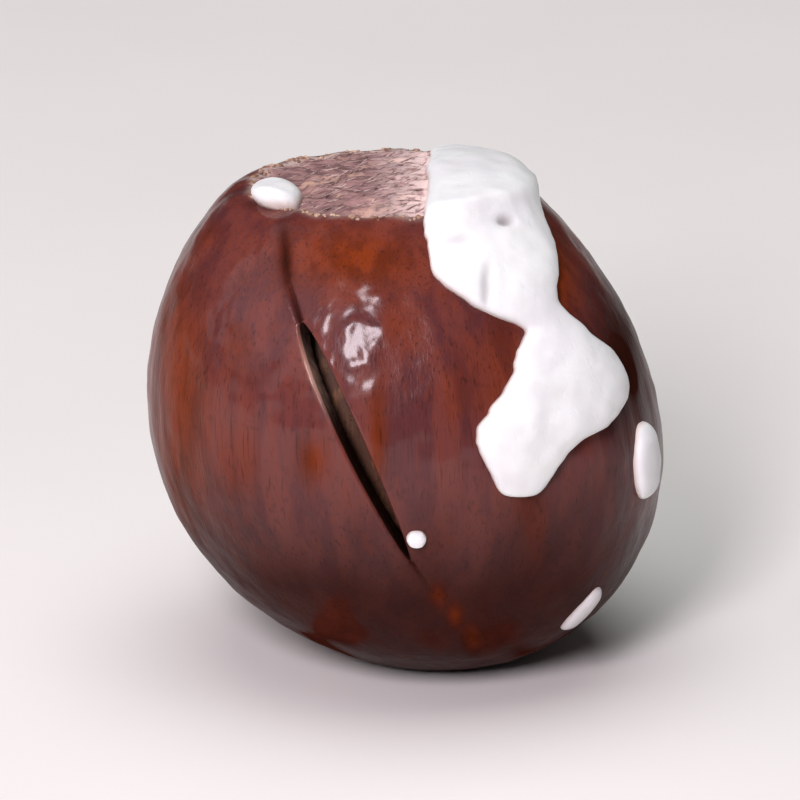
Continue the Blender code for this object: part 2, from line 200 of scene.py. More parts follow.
@dataclass(frozen=True)
class NutForm:
    """The round body, its scar and its ribs, as radii from its centre along directions."""

    centre: Vector = field(default_factory=lambda: Vector((-1.35, 0.0, 10.7)))
    front: View = FRONT
    body: float = 10.36
    drawn_out: float = 0.635
    tip_pull: float = 0.53
    axis: Array = field(default_factory=lambda: unit((-0.03, 0.105, 0.994)))
    long_way: Array = field(default_factory=lambda: unit((-0.827, 0.201, 0.525)))
    short_way: Array = field(default_factory=lambda: unit((0.562, 0.296, 0.772)))
    stretch: float = 0.064
    pear_shape: float = 0.02
    scar_height: float = 8.35
    scar_radius: float = 5.6
    scar_dome: float = 0.35
    rim_ridge: float = 0.12
    rim_width: float = 0.38
    edge_sharpness: float = 9.0
    plane_reach: float = math.radians(60)
    ring_relief: float = 0.06
    ring_spacing: float = 1.5
    ring_waves: tuple[tuple[int, float, float], ...] = ((3, 0.5, 0.0), (5, 0.3, 1.0))
    notches: int = 18
    notch_place: float = 0.93
    notch_length: float = 0.6
    notch_depth: float = 0.09
    ribs: tuple[tuple[int, float, float], ...] = ((3, 0.10, 0.4), (5, 0.06, 2.1), (11, 0.035, 0.9))
    wall: float = 1.2
    scar_wall: float = 0.7
    scar_wall_reach: float = math.radians(38)
    hollow_rise: float = 0.6
    patch_end: Span = (-5.5, 0.0)
    least_ring: float = 0.25

    def side_directions(self) -> tuple[Array, Array]:
        """Two directions square to the axis and to each other."""
        first = unit(np.array((1.0, 0.0, 0.0)) - self.axis[0] * self.axis)
        return first, np.cross(self.axis, first)

    def sideways(self, turn: Array) -> Array:
        """Directions square to the axis, at some turns about it."""
        side_a, side_b = self.side_directions()
        return np.outer(np.cos(turn), side_a) + np.outer(np.sin(turn), side_b)

    def angle_and_turn(self, directions: Array) -> tuple[Array, Array]:
        """Says where directions point, by the nut's axis.

        Args:
            directions: Directions from the nut's centre.

        Returns:
            The angle from the scar's centre and the turn about the axis, in radians.
        """
        side_a, side_b = self.side_directions()
        angle = np.arccos(np.clip(directions @ self.axis, -1.0, 1.0))
        return angle, np.arctan2(directions @ side_b, directions @ side_a)

    def across_scar(self, directions: Array) -> Array:
        """Distance from the scar's centre in its plane."""
        angle, _ = self.angle_and_turn(directions)
        return self.scar_height * np.tan(np.minimum(angle, self.plane_reach))

    def body_radius(self, directions: Array) -> Array:
        """Radius of the plump body, without scar, ribs or slit.

        Args:
            directions: Directions from the nut's centre.

        Returns:
            One radius for each direction.
        """
        angle, _ = self.angle_and_turn(directions)
        radius = self.body - self.tip_pull * np.cos(angle) + self.drawn_out * np.cos(2 * angle)
        long, short = directions @ self.long_way, directions @ self.short_way
        pear = self.pear_shape * (long**3 - 3 * long * short**2)
        return radius * (1 + self.stretch * (long**2 - short**2) - pear)

    def seen_at(
        self, view: View, right_mm: Array, up_mm: Array, radius_of: Callable[[Array], Array]
    ) -> Array:
        """Directions of the points of a surface that a view shows at some places.

        Args:
            view: Azimuth and elevation of the view, in degrees.
            right_mm: How far right of the centre each place is seen.
            up_mm: How far above the centre.
            radius_of: Gives the surface's radius along directions.

        Returns:
            One direction for each place.
        """
        right, up, towards = view_frame(view)
        flat = np.outer(right_mm, right) + np.outer(up_mm, up)
        radius = np.full(len(flat), self.body)
        directions = flat
        for _ in range(SEEN_ROUNDS):
            depth = np.sqrt(np.maximum(radius**2 - (flat**2).sum(axis=1), LEAST_DEPTH**2))
            directions = unit(flat + depth[:, None] * towards)
            radius = radius_of(directions)
        return directions

    def rib_height(self, directions: Array) -> Array:
        """Height of the low ribs, which fade towards the scar and the tip.

        Args:
            directions: Directions from the nut's centre.

        Returns:
            One height for each direction.
        """
        angle, turn = self.angle_and_turn(directions)
        waves = sum(height * np.cos(count * turn + start) for count, height, start in self.ribs)
        return np.sin(angle) ** 2 * waves

    def scar_relief(self, across: Array, turn: Array, ringed: float = 1.0) -> Array:
        """Height of the dome, the rings and the notched rim above the scar's plane.

        Args:
            across: Distances from the scar's centre.
            turn: Turns about the axis, in radians.
            ringed: How strong the rings and notches are.

        Returns:
            One height for each place.
        """
        share = across / self.scar_radius
        wander = sum(wave * np.sin(count * turn + start) for count, wave, start in self.ring_waves)
        rings = ringed * self.ring_relief * np.cos(TURN * across / self.ring_spacing + wander)
        near_rim = bump(across, self.notch_place * self.scar_radius, self.notch_length)
        notches = self.notch_depth * near_rim * (1 + np.cos(self.notches * turn)) / 2
        dome = self.scar_dome * (1 - share**2)
        return dome + rings * np.clip(share * 2, 0, 1) - ringed * notches

    def cut_off(self, body: Array, angle: Array, height: Array | float) -> Array:
        """The body's radius where a disc at this height cuts it off, with a soft edge."""
        disc = height / np.cos(np.minimum(angle, self.plane_reach))
        return disc - np.log(np.exp(self.edge_sharpness * (disc - body)) + 1) / self.edge_sharpness

    def smooth_radius(self, directions: Array) -> Array:
        """Radius of the outside without ribs, lip or relief."""
        angle, _ = self.angle_and_turn(directions)
        return self.cut_off(self.body_radius(directions), angle, self.scar_height)

    def shell_radius(
        self, directions: Array, raised: Array | float = 0.0, ringed: float = 1.0
    ) -> Array:
        """Radius of the outside, scar and all.

        Args:
            directions: Directions from the nut's centre.
            raised: Extra height of the body there, such as a lip or fine relief.
            ringed: How strong the scar's rings and notches are.

        Returns:
            One radius for each direction.
        """
        angle, turn = self.angle_and_turn(directions)
        across = self.across_scar(directions)
        relief = self.scar_relief(np.minimum(across, self.scar_radius), turn, ringed)
        ridge = self.rim_ridge * bump(across, self.scar_radius, self.rim_width)
        body = self.body_radius(directions) + self.rib_height(directions) + raised
        return self.cut_off(body, angle, self.scar_height + relief) + ridge

    def cavity_radius(self, directions: Array) -> Array:
        """Radius of the hollow inside, with a thicker wall under the scar.

        Args:
            directions: Directions from the nut's centre.

        Returns:
            One radius for each direction.
        """
        angle, _ = self.angle_and_turn(directions)
        under_scar = self.scar_wall * bump(angle, 0.0, self.scar_wall_reach)
        plane = self.scar_height / np.cos(np.minimum(angle, self.plane_reach))
        outside = np.minimum(self.body_radius(directions), plane + self.hollow_rise)
        return outside - self.wall - under_scar

    def in_patches(self, directions: Array, patches: tuple[Row, ...]) -> Array:
        """How far directions are within patches seen from the front.

        Args:
            directions: Directions from the nut's centre.
            patches: Each as (right, up, half width, half height), in millimetres.

        Returns:
            Numbers from 0 to 1.
        """
        right, up, towards = view_frame(self.front)
        seen = directions * self.body
        found = np.zeros(len(directions))
        for right_mm, up_mm, wide, tall in patches:
            across, rise = seen @ right - right_mm, seen @ up - up_mm
            found = np.maximum(found, np.exp(-((across / wide) ** 2) - (rise / tall) ** 2))
        return found * ramp(seen @ towards, *self.patch_end)

    def above_floor(self, directions: Array, radius: Array) -> Array:
        """The radius where the flat spot cuts it off at the floor."""
        floor = self.centre.z / np.maximum(-directions[:, 2], 1e-6)
        return np.minimum(radius, floor)

    def placed(self, directions: Array, radius: Array) -> Array:
        """Points in the frame, in metres."""
        return (directions * radius[:, None] + np.array(self.centre)) * MM

    def streak_places(self, directions: Array) -> Array:
        """Places for patterns that run from the scar to the tip.

        Args:
            directions: Directions from the nut's centre.

        Returns:
            For each the turn as a place on a circle, and the angle from the scar's centre.
        """
        angle, turn = self.angle_and_turn(directions)
        ring = np.maximum(np.sin(angle), self.least_ring)
        return np.stack((np.cos(turn) * ring, np.sin(turn) * ring, angle), axis=1)


@dataclass(frozen=True)
class Slit:
    """The slit: a lens between two ends, bowed, with a crack running on from either end."""

    form: NutForm
    top_seen: Span = (-3.85, 2.6)
    bottom_seen: Span = (0.4, -6.7)
    bow: float = 0.026
    half_width: float = 0.44
    lean: float = 0.72
    fullness: float = 0.6
    lip_height: float = 0.16
    lip_width: float = 1.1
    lip_round: float = 0.14
    crack_depth: float = 0.3
    crack_width: float = 0.09
    crack_reach: Span = (-0.42, 1.3)
    crack_inset: float = 0.1
    fade: float = 0.15

    def ends(self) -> tuple[Array, Array]:
        """Finds the slit's two ends.

        Returns:
            The directions of its upper and lower end.
        """
        seen = zip(self.top_seen, self.bottom_seen)
        right_mm, up_mm = map(np.array, seen)
        top, bottom = self.form.seen_at(self.form.front, right_mm, up_mm, self.form.body_radius)
        return top, bottom

    def arc(self) -> float:
        """Angle between the ends, in radians."""
        top, bottom = self.ends()
        return math.acos(float(top @ bottom))

    def frame(self) -> tuple[Array, Array, Array]:
        """Finds how the slit lies.

        Returns:
            The directions of its middle, along it to its lower end, and square to it.
        """
        top, bottom = self.ends()
        middle = unit(top + bottom)
        square = unit(np.cross(top, bottom))
        return middle, np.cross(square, middle), square

    def share_and_beside(self, directions: Array) -> tuple[Array, Array]:
        """Where directions lie by the slit's line.

        Args:
            directions: Directions from the nut's centre.

        Returns:
            The share of the way from the upper to the lower end, unclipped, and the angle
            from the line in radians, positive to its right.
        """
        middle, along, square = self.frame()
        share = 0.5 + np.arctan2(directions @ along, directions @ middle) / self.arc()
        return share, np.arcsin(np.clip(directions @ square, -1, 1)) - self.bowed(share)

    def bowed(self, share: Array) -> Array:
        """How far the slit's line bows from the straight one, in radians."""
        inside = np.clip(share, 0, 1)
        return self.bow * 4 * inside * (1 - inside)

    def width(self, share: Array) -> Array:
        """Half the slit's width, in millimetres, nothing beyond its ends."""
        inside = np.clip(share, 0, 1)
        return self.half_width * np.abs(np.sin(math.pi * inside**self.lean)) ** self.fullness

    def crack_run(self, share: Array, inset: float) -> Array:
        """How strong the cracks are along the slit's line.

        Args:
            share: Shares of the way from the upper to the lower end.
            inset: How far inside the slit's ends they reach their full strength.

        Returns:
            Numbers from 0, at the cracks' far ends, to 1.
        """
        low, high = self.crack_reach
        return ramp(share, low, inset) * ramp(share, high, 1 - inset)

    def raised(self, directions: Array) -> Array:
        """Height of the left lip, less the rounding of both lips and the cracks.

        Args:
            directions: Directions from the nut's centre.

        Returns:
            One height for each direction.
        """
        share, beside = self.share_and_beside(directions)
        beside = beside * self.form.body
        inside = np.clip(share, 0, 1)
        lifted = np.where(beside < 0, bump(beside, 0.0, self.lip_width), 0.0)
        lip = self.lip_height * lifted * np.sin(math.pi * inside)
        open_here = (share > 0) & (share < 1)
        from_edge = np.abs(beside) - self.width(share)
        inward = np.clip(1 - from_edge / self.lip_round, 0, 1)
        rounding = self.lip_round * (1 - np.sqrt(1 - inward**2))
        run = self.crack_run(share, self.crack_inset)
        crack = self.crack_depth * run * np.exp(-np.abs(beside) / self.crack_width)
        return lip - np.where(open_here, rounding, crack)

    def loops(self, rises: Array, turns: Array, depth: float) -> Array:
        """Directions on loops that grow round the slit, each an oval about both ends.

        Args:
            rises: How far out each loop is; the first is the slit's own edge.
            turns: Where round the loop each point is, in radians, 0 at the lower end.
            depth: Radius at which the slit's width is taken, in millimetres.

        Returns:
            Directions, loop by loop.
        """
        half_length = 2 * math.tan(self.arc() / 4)
        focus = half_length / math.cosh(rises[0])
        far, around = np.meshgrid(rises, turns, indexing="ij")
        x = focus * np.cosh(far) * np.cos(around)
        y = focus * np.sinh(far) * np.sin(around)
        share = 0.5 + 2 * np.arctan(x / 2) / self.arc()
        oval = focus * math.sinh(rises[0]) * np.sqrt(np.maximum(1 - (x / half_length) ** 2, 0))
        scale = 1 + x**2 / 4
        wanted = self.width(share) / depth * scale
        near = np.exp(-np.maximum(np.abs(y) - oval, 0) / self.fade)
        y = y + np.sign(y) * (wanted - oval) * near + self.bowed(share) * scale * near
        k = ((x**2 + y**2) / 4)[..., None]
        middle, along, square = self.frame()
        flat = x[..., None] * along + y[..., None] * square
        return ((flat + (1 - k) * middle) / (1 + k)).reshape(-1, 3)


def linked(name: str, data: bpy.types.ID) -> Piece:
    """Puts a new object into the scene.

    Args:
        name: Its name.
        data: Its mesh, light or camera.

    Returns:
        The object.
    """
    made = bpy.data.objects.new(name, data)
    bpy.context.scene.collection.objects.link(made)
    return made


def meshed(name: str, points: Array, faces: list[Face]) -> bpy.types.Mesh:
    """Makes a mesh.

    Args:
        name: Its name.
        points: Its corners, in metres.
        faces: Its faces, as numbers of corners.

    Returns:
        The mesh.
    """
    mesh = bpy.data.meshes.new(name)
    mesh.from_pydata(points.tolist(), [], faces)
    return mesh


def add_piece(
    name: str, points: Array, faces: list[Face], slot: Slot, *nodes: str
) -> Piece:
    """A smooth-shaded piece of the object that rides on the nut.

    Args:
        name: The piece's name.
        points: Its corners in the frame, in metres.
        faces: Its faces, as numbers of corners.
        slot: Not used.
        *nodes: The solids that it stands for.

    Returns:
        The new object.
    """
    mesh = meshed(name, points, faces)
    shape = bmesh.new()
    shape.from_mesh(mesh)
    bmesh.ops.recalc_face_normals(shape, faces=shape.faces)
    if shape.calc_volume(signed=True) < 0:
        bmesh.ops.reverse_faces(shape, faces=shape.faces)
    shape.to_mesh(mesh)
    shape.free()
    mesh.shade_smooth()
    return joined_to_nut(linked(name, mesh), slot, *nodes)


def joined_to_nut(piece: Piece, slot: Slot, *nodes: str) -> Piece:
    """Lets a piece ride on the nut and stand for its solids.

    Args:
        piece: The piece.
        slot: Not used.
        *nodes: The solids that it stands for.

    Returns:
        The same piece.
    """
    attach(piece, "root")
    if nodes:
        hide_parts(*nodes)
    return piece


def ring_faces(rings: int, columns: int) -> list[Face]:
    """Quads between rings of points that close on themselves.

    Args:
        rings: How many rings there are.
        columns: Points in each ring.

    Returns:
        The faces.
    """
    faces = []
    for first in range(0, (rings - 1) * columns, columns):
        for column in range(columns):
            here, beside = first + column, first + (column + 1) % columns
            faces.append((here, beside, beside + columns, here + columns))
    return faces


def closed_faces(rings: int, columns: int) -> list[Face]:
    """Faces of a skin that a pole closes at either end.

    Its points are the rings', then the pole before the first ring and the one after the last.

    Args:
        rings: How many rings there are.
        columns: Points in each ring.

    Returns:
        The faces.
    """
    faces = ring_faces(rings, columns)
    poles = rings * columns
    last_ring = poles - columns
    for column in range(columns):
        beside = (column + 1) % columns
        faces.append((beside, column, poles))
        faces.append((last_ring + column, last_ring + beside, poles + 1))
    return faces


def set_attribute(piece: Piece, name: str, values: Array) -> None:
    """Stores a number or a vector at each corner of a piece.

    Args:
        piece: The piece.
        name: Name of the attribute.
        values: One number or one vector for each corner.
    """
    kind, key = ("FLOAT", "value") if values.ndim == 1 else ("FLOAT_VECTOR", "vector")
    made = piece.data.attributes.new(name, kind, "POINT")
    made.data.foreach_set(key, values.astype(np.float32).ravel())


@dataclass(frozen=True)
class Texture:
    """A noise in a finish: its scale, finer layers, their strength and its stretch by axis."""

    scale: float
    detail: float = 3.0
    rough: float = 0.5
    stretch: Colour | None = None


@dataclass(frozen=True)
class Veil:
    """A colour over another one: none of it where a noise is low, all where it is high."""

    colour: Colour
    low: float
    high: float
    strength: float = 1.0


class Nodes:
    """Builds a tree of shader or geometry nodes, one call a node."""

    def __init__(self, tree: Tree) -> None:
        """Keeps the tree that the nodes go into."""
        self.tree = tree

    def add(self, kind: str, **settings: object) -> bpy.types.Node:
        """Adds a node.

        Args:
            kind: The node's type.
            **settings: Its settings by name.

        Returns:
            The new node.
        """
        node = self.tree.nodes.new(kind)
        for name, value in settings.items():
            setattr(node, name, value)
        return node

    def feed(self, socket: Socket, value: object) -> None:
        """Gives a socket a value, or links it to another socket.

        Args:
            socket: The input socket.
            value: A value or an output socket.
        """
        if isinstance(value, Socket):
            self.tree.links.new(value, socket)
        else:
            socket.default_value = value

    def math(self, operation: str, *values: object, clamp: bool = False) -> Socket:
        """Does a sum.

        Args:
            operation: The sum.
            *values: Its numbers or sockets.
            clamp: Whether the result is kept from 0 to 1.

        Returns:
            The result's socket.
        """
        node = self.add("ShaderNodeMath", operation=operation, use_clamp=clamp)
        for socket, value in zip(node.inputs, values):
            self.feed(socket, value)
        return node.outputs[0]

    def mix(self, share: object, low: object, high: object) -> Socket:
        """Mixes two colours.

        Args:
            share: How much of the second is taken.
            low: The first colour.
            high: The second colour.

        Returns:
            The mixed colour's socket.
        """
        node = self.add("ShaderNodeMix", data_type="RGBA")
        for place, value in zip((0, 6, 7), (share, low, high)):
            self.feed(node.inputs[place], value)
        return node.outputs[2]

    def weighed(self, *parts: tuple[object, object]) -> object:
        """Adds up sockets, each times its weight.

        Args:
            *parts: Each a socket and its weight, a number or a socket.

        Returns:
            The sum's socket.
        """
        total = 0.0
        for value, weight in parts:
            total = self.math("MULTIPLY_ADD", value, weight, total)
        return total

    def rise(self, value: object, low: float, high: float, top: float = 1.0) -> Socket:
        """Makes a smooth rise.

        Args:
            value: What it follows.
            low: Value at which the result is 0.
            high: Value at which the result is the top.
            top: The most that it rises to.

        Returns:
            The result's socket.
        """
        node = self.add("ShaderNodeMapRange", interpolation_type="SMOOTHSTEP")
        for socket, given in zip(node.inputs, (value, low, high, 0.0, top)):
            self.feed(socket, given)
        return node.outputs[0]

    def noise(self, place: Socket, texture: Texture) -> Socket:
        """Noise from 0 to 1 at a place.

        Args:
            place: The place's socket.
            texture: What the noise is like.

        Returns:
            The noise's socket.
        """
        if texture.stretch:
            stretched = self.add("ShaderNodeMapping")
            self.feed(stretched.inputs["Vector"], place)
            stretched.inputs["Scale"].default_value = texture.stretch
            place = stretched.outputs["Vector"]
        node = self.add("ShaderNodeTexNoise")
        self.feed(node.inputs["Vector"], place)
        node.inputs["Scale"].default_value = texture.scale
        node.inputs["Detail"].default_value = texture.detail
        node.inputs["Roughness"].default_value = texture.rough
        return node.outputs["Fac"]

    def veiled(self, colour: object, noise: Socket, veil: Veil, within: object = 1.0) -> Socket:
        """Lays a veil over a colour.

        Args:
            colour: What lies below.
            noise: What the veil follows.
            veil: Its colour, and where it lies.
            within: A mask that it keeps to.

        Returns:
            The new colour's socket.
        """
        share = self.rise(noise, veil.low, veil.high, veil.strength)
        return self.mix(self.math("MULTIPLY", within, share), colour, linear(*veil.colour))

    def attribute(self, name: str, vector: bool = False) -> Socket:
        """A number or a vector stored on the mesh."""
        node = self.add("ShaderNodeAttribute", attribute_name=name)
        return node.outputs["Vector" if vector else "Fac"]

    def place(self) -> Socket:
        """Object coordinates."""
        return self.add("ShaderNodeTexCoord").outputs["Object"]

    def spots(self, mottle: Tree, blotch: float, speck: float) -> tuple[Socket, Socket]:
        """Adds the shared blotches and specks.

        Args:
            mottle: Their node group.
            blotch: How fine the blotches are.
            speck: How fine the specks are.

        Returns:
            The sockets of both.
        """
        node = self.add("ShaderNodeGroup", node_tree=mottle)
        given = {"Place": self.place(), "Blotch Scale": blotch, "Speck Scale": speck}
        for name, value in given.items():
            self.feed(node.inputs[name], value)
        return node.outputs["Blotches"], node.outputs["Specks"]

    def bumped(self, height: object, depth_mm: float, strength: float = 1.0) -> Socket:
        """Turns a height into a normal.

        Args:
            height: The height's socket, about 0 to 1.
            depth_mm: The depth in millimetres that 1 stands for.
            strength: How much of it is used.

        Returns:
            The normal's socket.
        """
        node = self.add("ShaderNodeBump")
        node.inputs["Strength"].default_value = strength
        node.inputs["Distance"].default_value = depth_mm * MM
        self.feed(node.inputs["Height"], height)
        return node.outputs["Normal"]

    def end_with(self, geometry: Socket, finish: Socket) -> None:
        """Ends a tree of geometry nodes: real meshes with their material.

        Args:
            geometry: What the tree made.
            finish: The material.
        """
        real = self.add("GeometryNodeRealizeInstances")
        self.feed(real.inputs["Geometry"], geometry)
        finished = self.add("GeometryNodeSetMaterial")
        self.feed(finished.inputs["Geometry"], real.outputs["Geometry"])
        self.feed(finished.inputs["Material"], finish)
        self.feed(self.add("NodeGroupOutput").inputs[0], finished.outputs["Geometry"])


def new_group(
    name: str, inputs: dict[str, float], outputs: tuple[str, ...]
) -> tuple[Tree, Nodes]:
    """A shader node group with named sockets.

    Args:
        name: The group's name.
        inputs: Number inputs with their usual values. "Place" is added as a vector.
        outputs: Names of the number outputs.

    Returns:
        The group and a builder for it.
    """
    tree = bpy.data.node_groups.new(name, "ShaderNodeTree")
    tree.interface.new_socket("Place", in_out="INPUT", socket_type="NodeSocketVector")
    for label, value in inputs.items():
        socket = tree.interface.new_socket(label, in_out="INPUT", socket_type="NodeSocketFloat")
        socket.default_value = value
    for label in outputs:
        tree.interface.new_socket(label, in_out="OUTPUT", socket_type="NodeSocketFloat")
    return tree, Nodes(tree)


def new_geometry_tree(name: str, inputs: dict[str, str], output: str) -> tuple[Tree, Nodes]:
    """A tree of geometry nodes with named sockets.

    Args:
        name: The tree's name.
        inputs: Names of the inputs with their socket types.
        output: Name of the resulting geometry.

    Returns:
        The tree and a builder for it.
    """
    tree = bpy.data.node_groups.new(name, "GeometryNodeTree")
    for label, kind in inputs.items():
        tree.interface.new_socket(label, in_out="INPUT", socket_type=kind)
    tree.interface.new_socket(output, in_out="OUTPUT", socket_type="NodeSocketGeometry")
    return tree, Nodes(tree)


# Where the blotches and the specks start in their noise, and where they are full
BLOTCH_REACH: Span = (0.35, 0.65)
SPECK_REACH: Span = (0.56, 0.74)


def mottle_group() -> Tree:
    """Cloudy blotches and fine specks, shared by the shell, the kernel and the glaze.

    Returns:
        The node group, with the scales of both as named inputs.
    """
    scales = {"Blotch Scale": 400.0, "Speck Scale": 3000.0}
    tree, made = new_group("mottle", scales, ("Blotches", "Specks"))
    given = made.add("NodeGroupInput").outputs
    result = made.add("NodeGroupOutput").inputs
    for scale, reach, name in (
        ("Blotch Scale", BLOTCH_REACH, "Blotches"),
        ("Speck Scale", SPECK_REACH, "Specks"),
    ):
        texture = made.add("ShaderNodeTexNoise")
        made.feed(texture.inputs["Vector"], given["Place"])
        made.feed(texture.inputs["Scale"], given[scale])
        texture.inputs["Detail"].default_value = 4.0
        made.feed(result[name], made.rise(texture.outputs["Fac"], *reach))
    return tree


def new_material(name: str) -> tuple[Material, Nodes, bpy.types.Node]:
    """Starts a material.

    Args:
        name: Its name.

    Returns:
        The material, a builder for its nodes, and its Principled shader.
    """
    material = bpy.data.materials.new(name)
    material.use_nodes = True
    shader = material.node_tree.nodes["Principled BSDF"]
    return material, Nodes(material.node_tree), shader


RUST: Colour = (114, 46, 17)
# Charred brown of the scorch, hairs and specks, also the colour of the painted shade.
CHAR_AND_SHADE: Colour = (38, 17, 12)


@dataclass(frozen=True)
class ShellFinish:
    """Lacquered, roasted shell with a dull scar, a painted highlight along the scar's rim and on
    the slit's left lip, and its cut wall and hollow painted dark as shade.
    """

    mahogany: Colour = (100, 50, 45)
    plum_clouds: Veil = Veil((82, 41, 42), 0.38, 0.62)
    rust_streaks: Veil = Veil(RUST, 0.5, 0.7, 0.35)
    rust_reach: Span = (0.1, 0.5)
    scorch: Veil = Veil(CHAR_AND_SHADE, 0.4, 0.6, 0.45)
    dark_hairs: Veil = Veil(CHAR_AND_SHADE, 0.56, 0.74, 0.5)
    speck_strength: float = 0.25
    scar: Colour = (106, 80, 82)
    scar_threads: Veil = Veil((150, 116, 114), 0.36, 0.62)
    scar_tan: Veil = Veil((184, 148, 132), 0.4, 0.6, 0.85)
    tan_reach: Span = (0.5, 0.62)
    scar_pale: Veil = Veil((232, 208, 204), 0.3, 0.5)
    pale_reach: Span = (-3.0, 0.2)
    pale_strength: float = 0.8
    # Painted highlight along the scar's rim.
    rim: Colour = (198, 178, 170)
    rim_reach: Span = (0.25, 0.55)
    # Painted highlight on the slit's left lip.
    lip: Colour = (206, 164, 146)
    # The cut wall and the hollow, painted dark as shade.
    cut: Colour = (42, 23, 16)
    inner: Colour = (32, 18, 13)
    broad: Texture = Texture(1.6, 3.0, 0.5, (6.0, 6.0, 0.9))
    fine: Texture = Texture(1.5, 4.0, 0.6, (26.0, 26.0, 1.6))
    hair: Texture = Texture(1.4, 2.0, 0.5, (70.0, 70.0, 3.0))
    weave: Texture = Texture(1.0, 4.0, 0.65, (900.0, 2600.0, 900.0))
    grit: Texture = Texture(2200.0, 3.0, 0.6)
    patches: Texture = Texture(520.0, 2.0)
    fibre: Texture = Texture(1800.0)
    lumps: Texture = Texture(900.0, 2.0)
    blotch_scale: float = 330.0
    speck_scale: float = 2600.0
    roughness: float = 0.24
    fine_roughness: float = 0.18
    bare_roughness: float = 0.5
    bare_rim: float = 0.8
    shade_dulls: float = 1.1
    rust_dulls: float = 0.8
    coat: float = 0.42
    coat_roughness: float = 0.16
    specular: float = 0.12
    fine_height: float = 0.5
    hair_height: float = 0.35
    lump_height: float = 0.9
    grit_height: float = 1.6
    weave_height: float = 2.2
    relief_mm: float = 0.05
    relief_strength: float = 0.8

    def scar_colour(self, made: Nodes, place: Socket, weave: Socket, grit: Socket) -> Socket:
        """Mixes the scar's colour: threads, tan patches and a paler right side.

        Args:
            made: Builds the nodes.
            place: Where on the nut a point is.
            weave: The noise along the threads.
            grit: The fine noise.

        Returns:
            The colour's socket.
        """
        colour = made.veiled(linear(*self.scar), weave, self.scar_threads)
        tan_patch = made.rise(made.noise(place, self.patches), *self.tan_reach)
        colour = made.veiled(colour, grit, self.scar_tan, tan_patch)
        across = made.add("ShaderNodeSeparateXYZ")
        made.feed(across.inputs[0], place)
        low, high = (edge * MM for edge in self.pale_reach)
        paler = made.rise(across.outputs["X"], low, high, self.pale_strength)
        return made.veiled(colour, grit, self.scar_pale, paler)

    def material(self, mottle: Tree) -> Material:
        """Builds the material.

        Args:
            mottle: The shared blotches and specks.

        Returns:
            The finished material.
        """
        material, made, shader = new_material("lacquered_shell")
        streaks, place = made.attribute("streaks", vector=True), made.place()
        broad, fine, hair = (made.noise(streaks, n) for n in (self.broad, self.fine, self.hair))
        weave, grit = made.noise(place, self.weave), made.noise(place, self.grit)
        _, specks = made.spots(mottle, self.blotch_scale, self.speck_scale)
        masks = {mask: made.attribute(mask.value) for mask in Mask}

        colour = made.veiled(linear(*self.mahogany), broad, self.plum_clouds)
        colour = made.veiled(colour, fine, self.rust_streaks)
        rusty = made.math("MULTIPLY", masks[Mask.RUST], made.rise(fine, *self.rust_reach))
        colour = made.mix(rusty, colour, linear(*RUST))
        colour = made.veiled(colour, broad, self.scorch, rusty)
        colour = made.veiled(colour, hair, self.dark_hairs)
        specks = made.math("MULTIPLY", specks, self.speck_strength)
        colour = made.mix(specks, colour, linear(*CHAR_AND_SHADE))
        # Painted shade: darkened towards char on the right side, along the cracks and towards the
        # tip.
        colour = made.mix(masks[Mask.SHADE], colour, linear(*CHAR_AND_SHADE))
        colour = made.mix(masks[Mask.SCAR], colour, self.scar_colour(made, place, weave, grit))
        # Painted highlight along the scar's rim.
        rim = made.math("MULTIPLY", masks[Mask.RIM], made.rise(grit, *self.rim_reach))
        colour = made.mix(rim, colour, linear(*self.rim))
        # The cut wall and the hollow, painted dark as shade.
        cut = made.mix(made.noise(place, self.fibre), linear(*self.cut), linear(*self.inner))
        colour = made.mix(masks[Mask.CUT], colour, cut)
        # Painted highlight on the slit's left lip.
        colour = made.mix(masks[Mask.LIP], colour, linear(*self.lip))
        colour = made.mix(masks[Mask.INSIDE], colour, linear(*self.inner))
        made.feed(shader.inputs["Base Color"], colour)

        raw = made.math("MAXIMUM", masks[Mask.CUT], masks[Mask.INSIDE])
        raw = made.math("MAXIMUM", masks[Mask.SCAR], raw)
        bare = made.math("MAXIMUM", raw, made.math("MULTIPLY", rim, self.bare_rim))
        gloss = made.math("MULTIPLY_ADD", fine, self.fine_roughness, self.roughness)
        rough = made.math("MULTIPLY_ADD", bare, self.bare_roughness, gloss, clamp=True)
        made.feed(shader.inputs["Roughness"], rough)
        shade, rust = masks[Mask.SHADE], masks[Mask.RUST]
        dull = made.weighed((bare, 1.0), (shade, self.shade_dulls), (rust, self.rust_dulls))
        coated = made.math("SUBTRACT", 1.0, dull, clamp=True)
        made.feed(shader.inputs["Coat Weight"], made.math("MULTIPLY", coated, self.coat))
        specular = made.math("MULTIPLY", coated, self.specular)
        made.feed(shader.inputs["Specular IOR Level"], specular)
        shader.inputs["Coat Roughness"].default_value = self.coat_roughness

        height = made.weighed(
            (fine, self.fine_height),
            (hair, self.hair_height),
            (made.noise(place, self.lumps), self.lump_height),
            (bare, made.weighed((grit, self.grit_height), (weave, self.weave_height))),
        )
        normal = made.bumped(height, self.relief_mm, self.relief_strength)
        made.feed(shader.inputs["Normal"], normal)
        return material


@dataclass(frozen=True)
class GrainFinish:
    """Fibres and crumbs that stand on the scar."""

    name: str
    pale: Colour
    deep: Colour
    blotch_scale: float = 1400.0
    speck_scale: float = 6000.0
    roughness: float = 0.8
    relief_mm: float = 0.03

    def material(self, mottle: Tree) -> Material:
        """Builds the material.

        Args:
            mottle: The shared blotches and specks.

        Returns:
            The finished material.
        """
        material, made, shader = new_material(self.name)
        blotches, specks = made.spots(mottle, self.blotch_scale, self.speck_scale)
        colour = made.mix(blotches, linear(*self.pale), linear(*self.deep))
        made.feed(shader.inputs["Base Color"], colour)
        shader.inputs["Roughness"].default_value = self.roughness
        made.feed(shader.inputs["Normal"], made.bumped(specks, self.relief_mm))
        return material


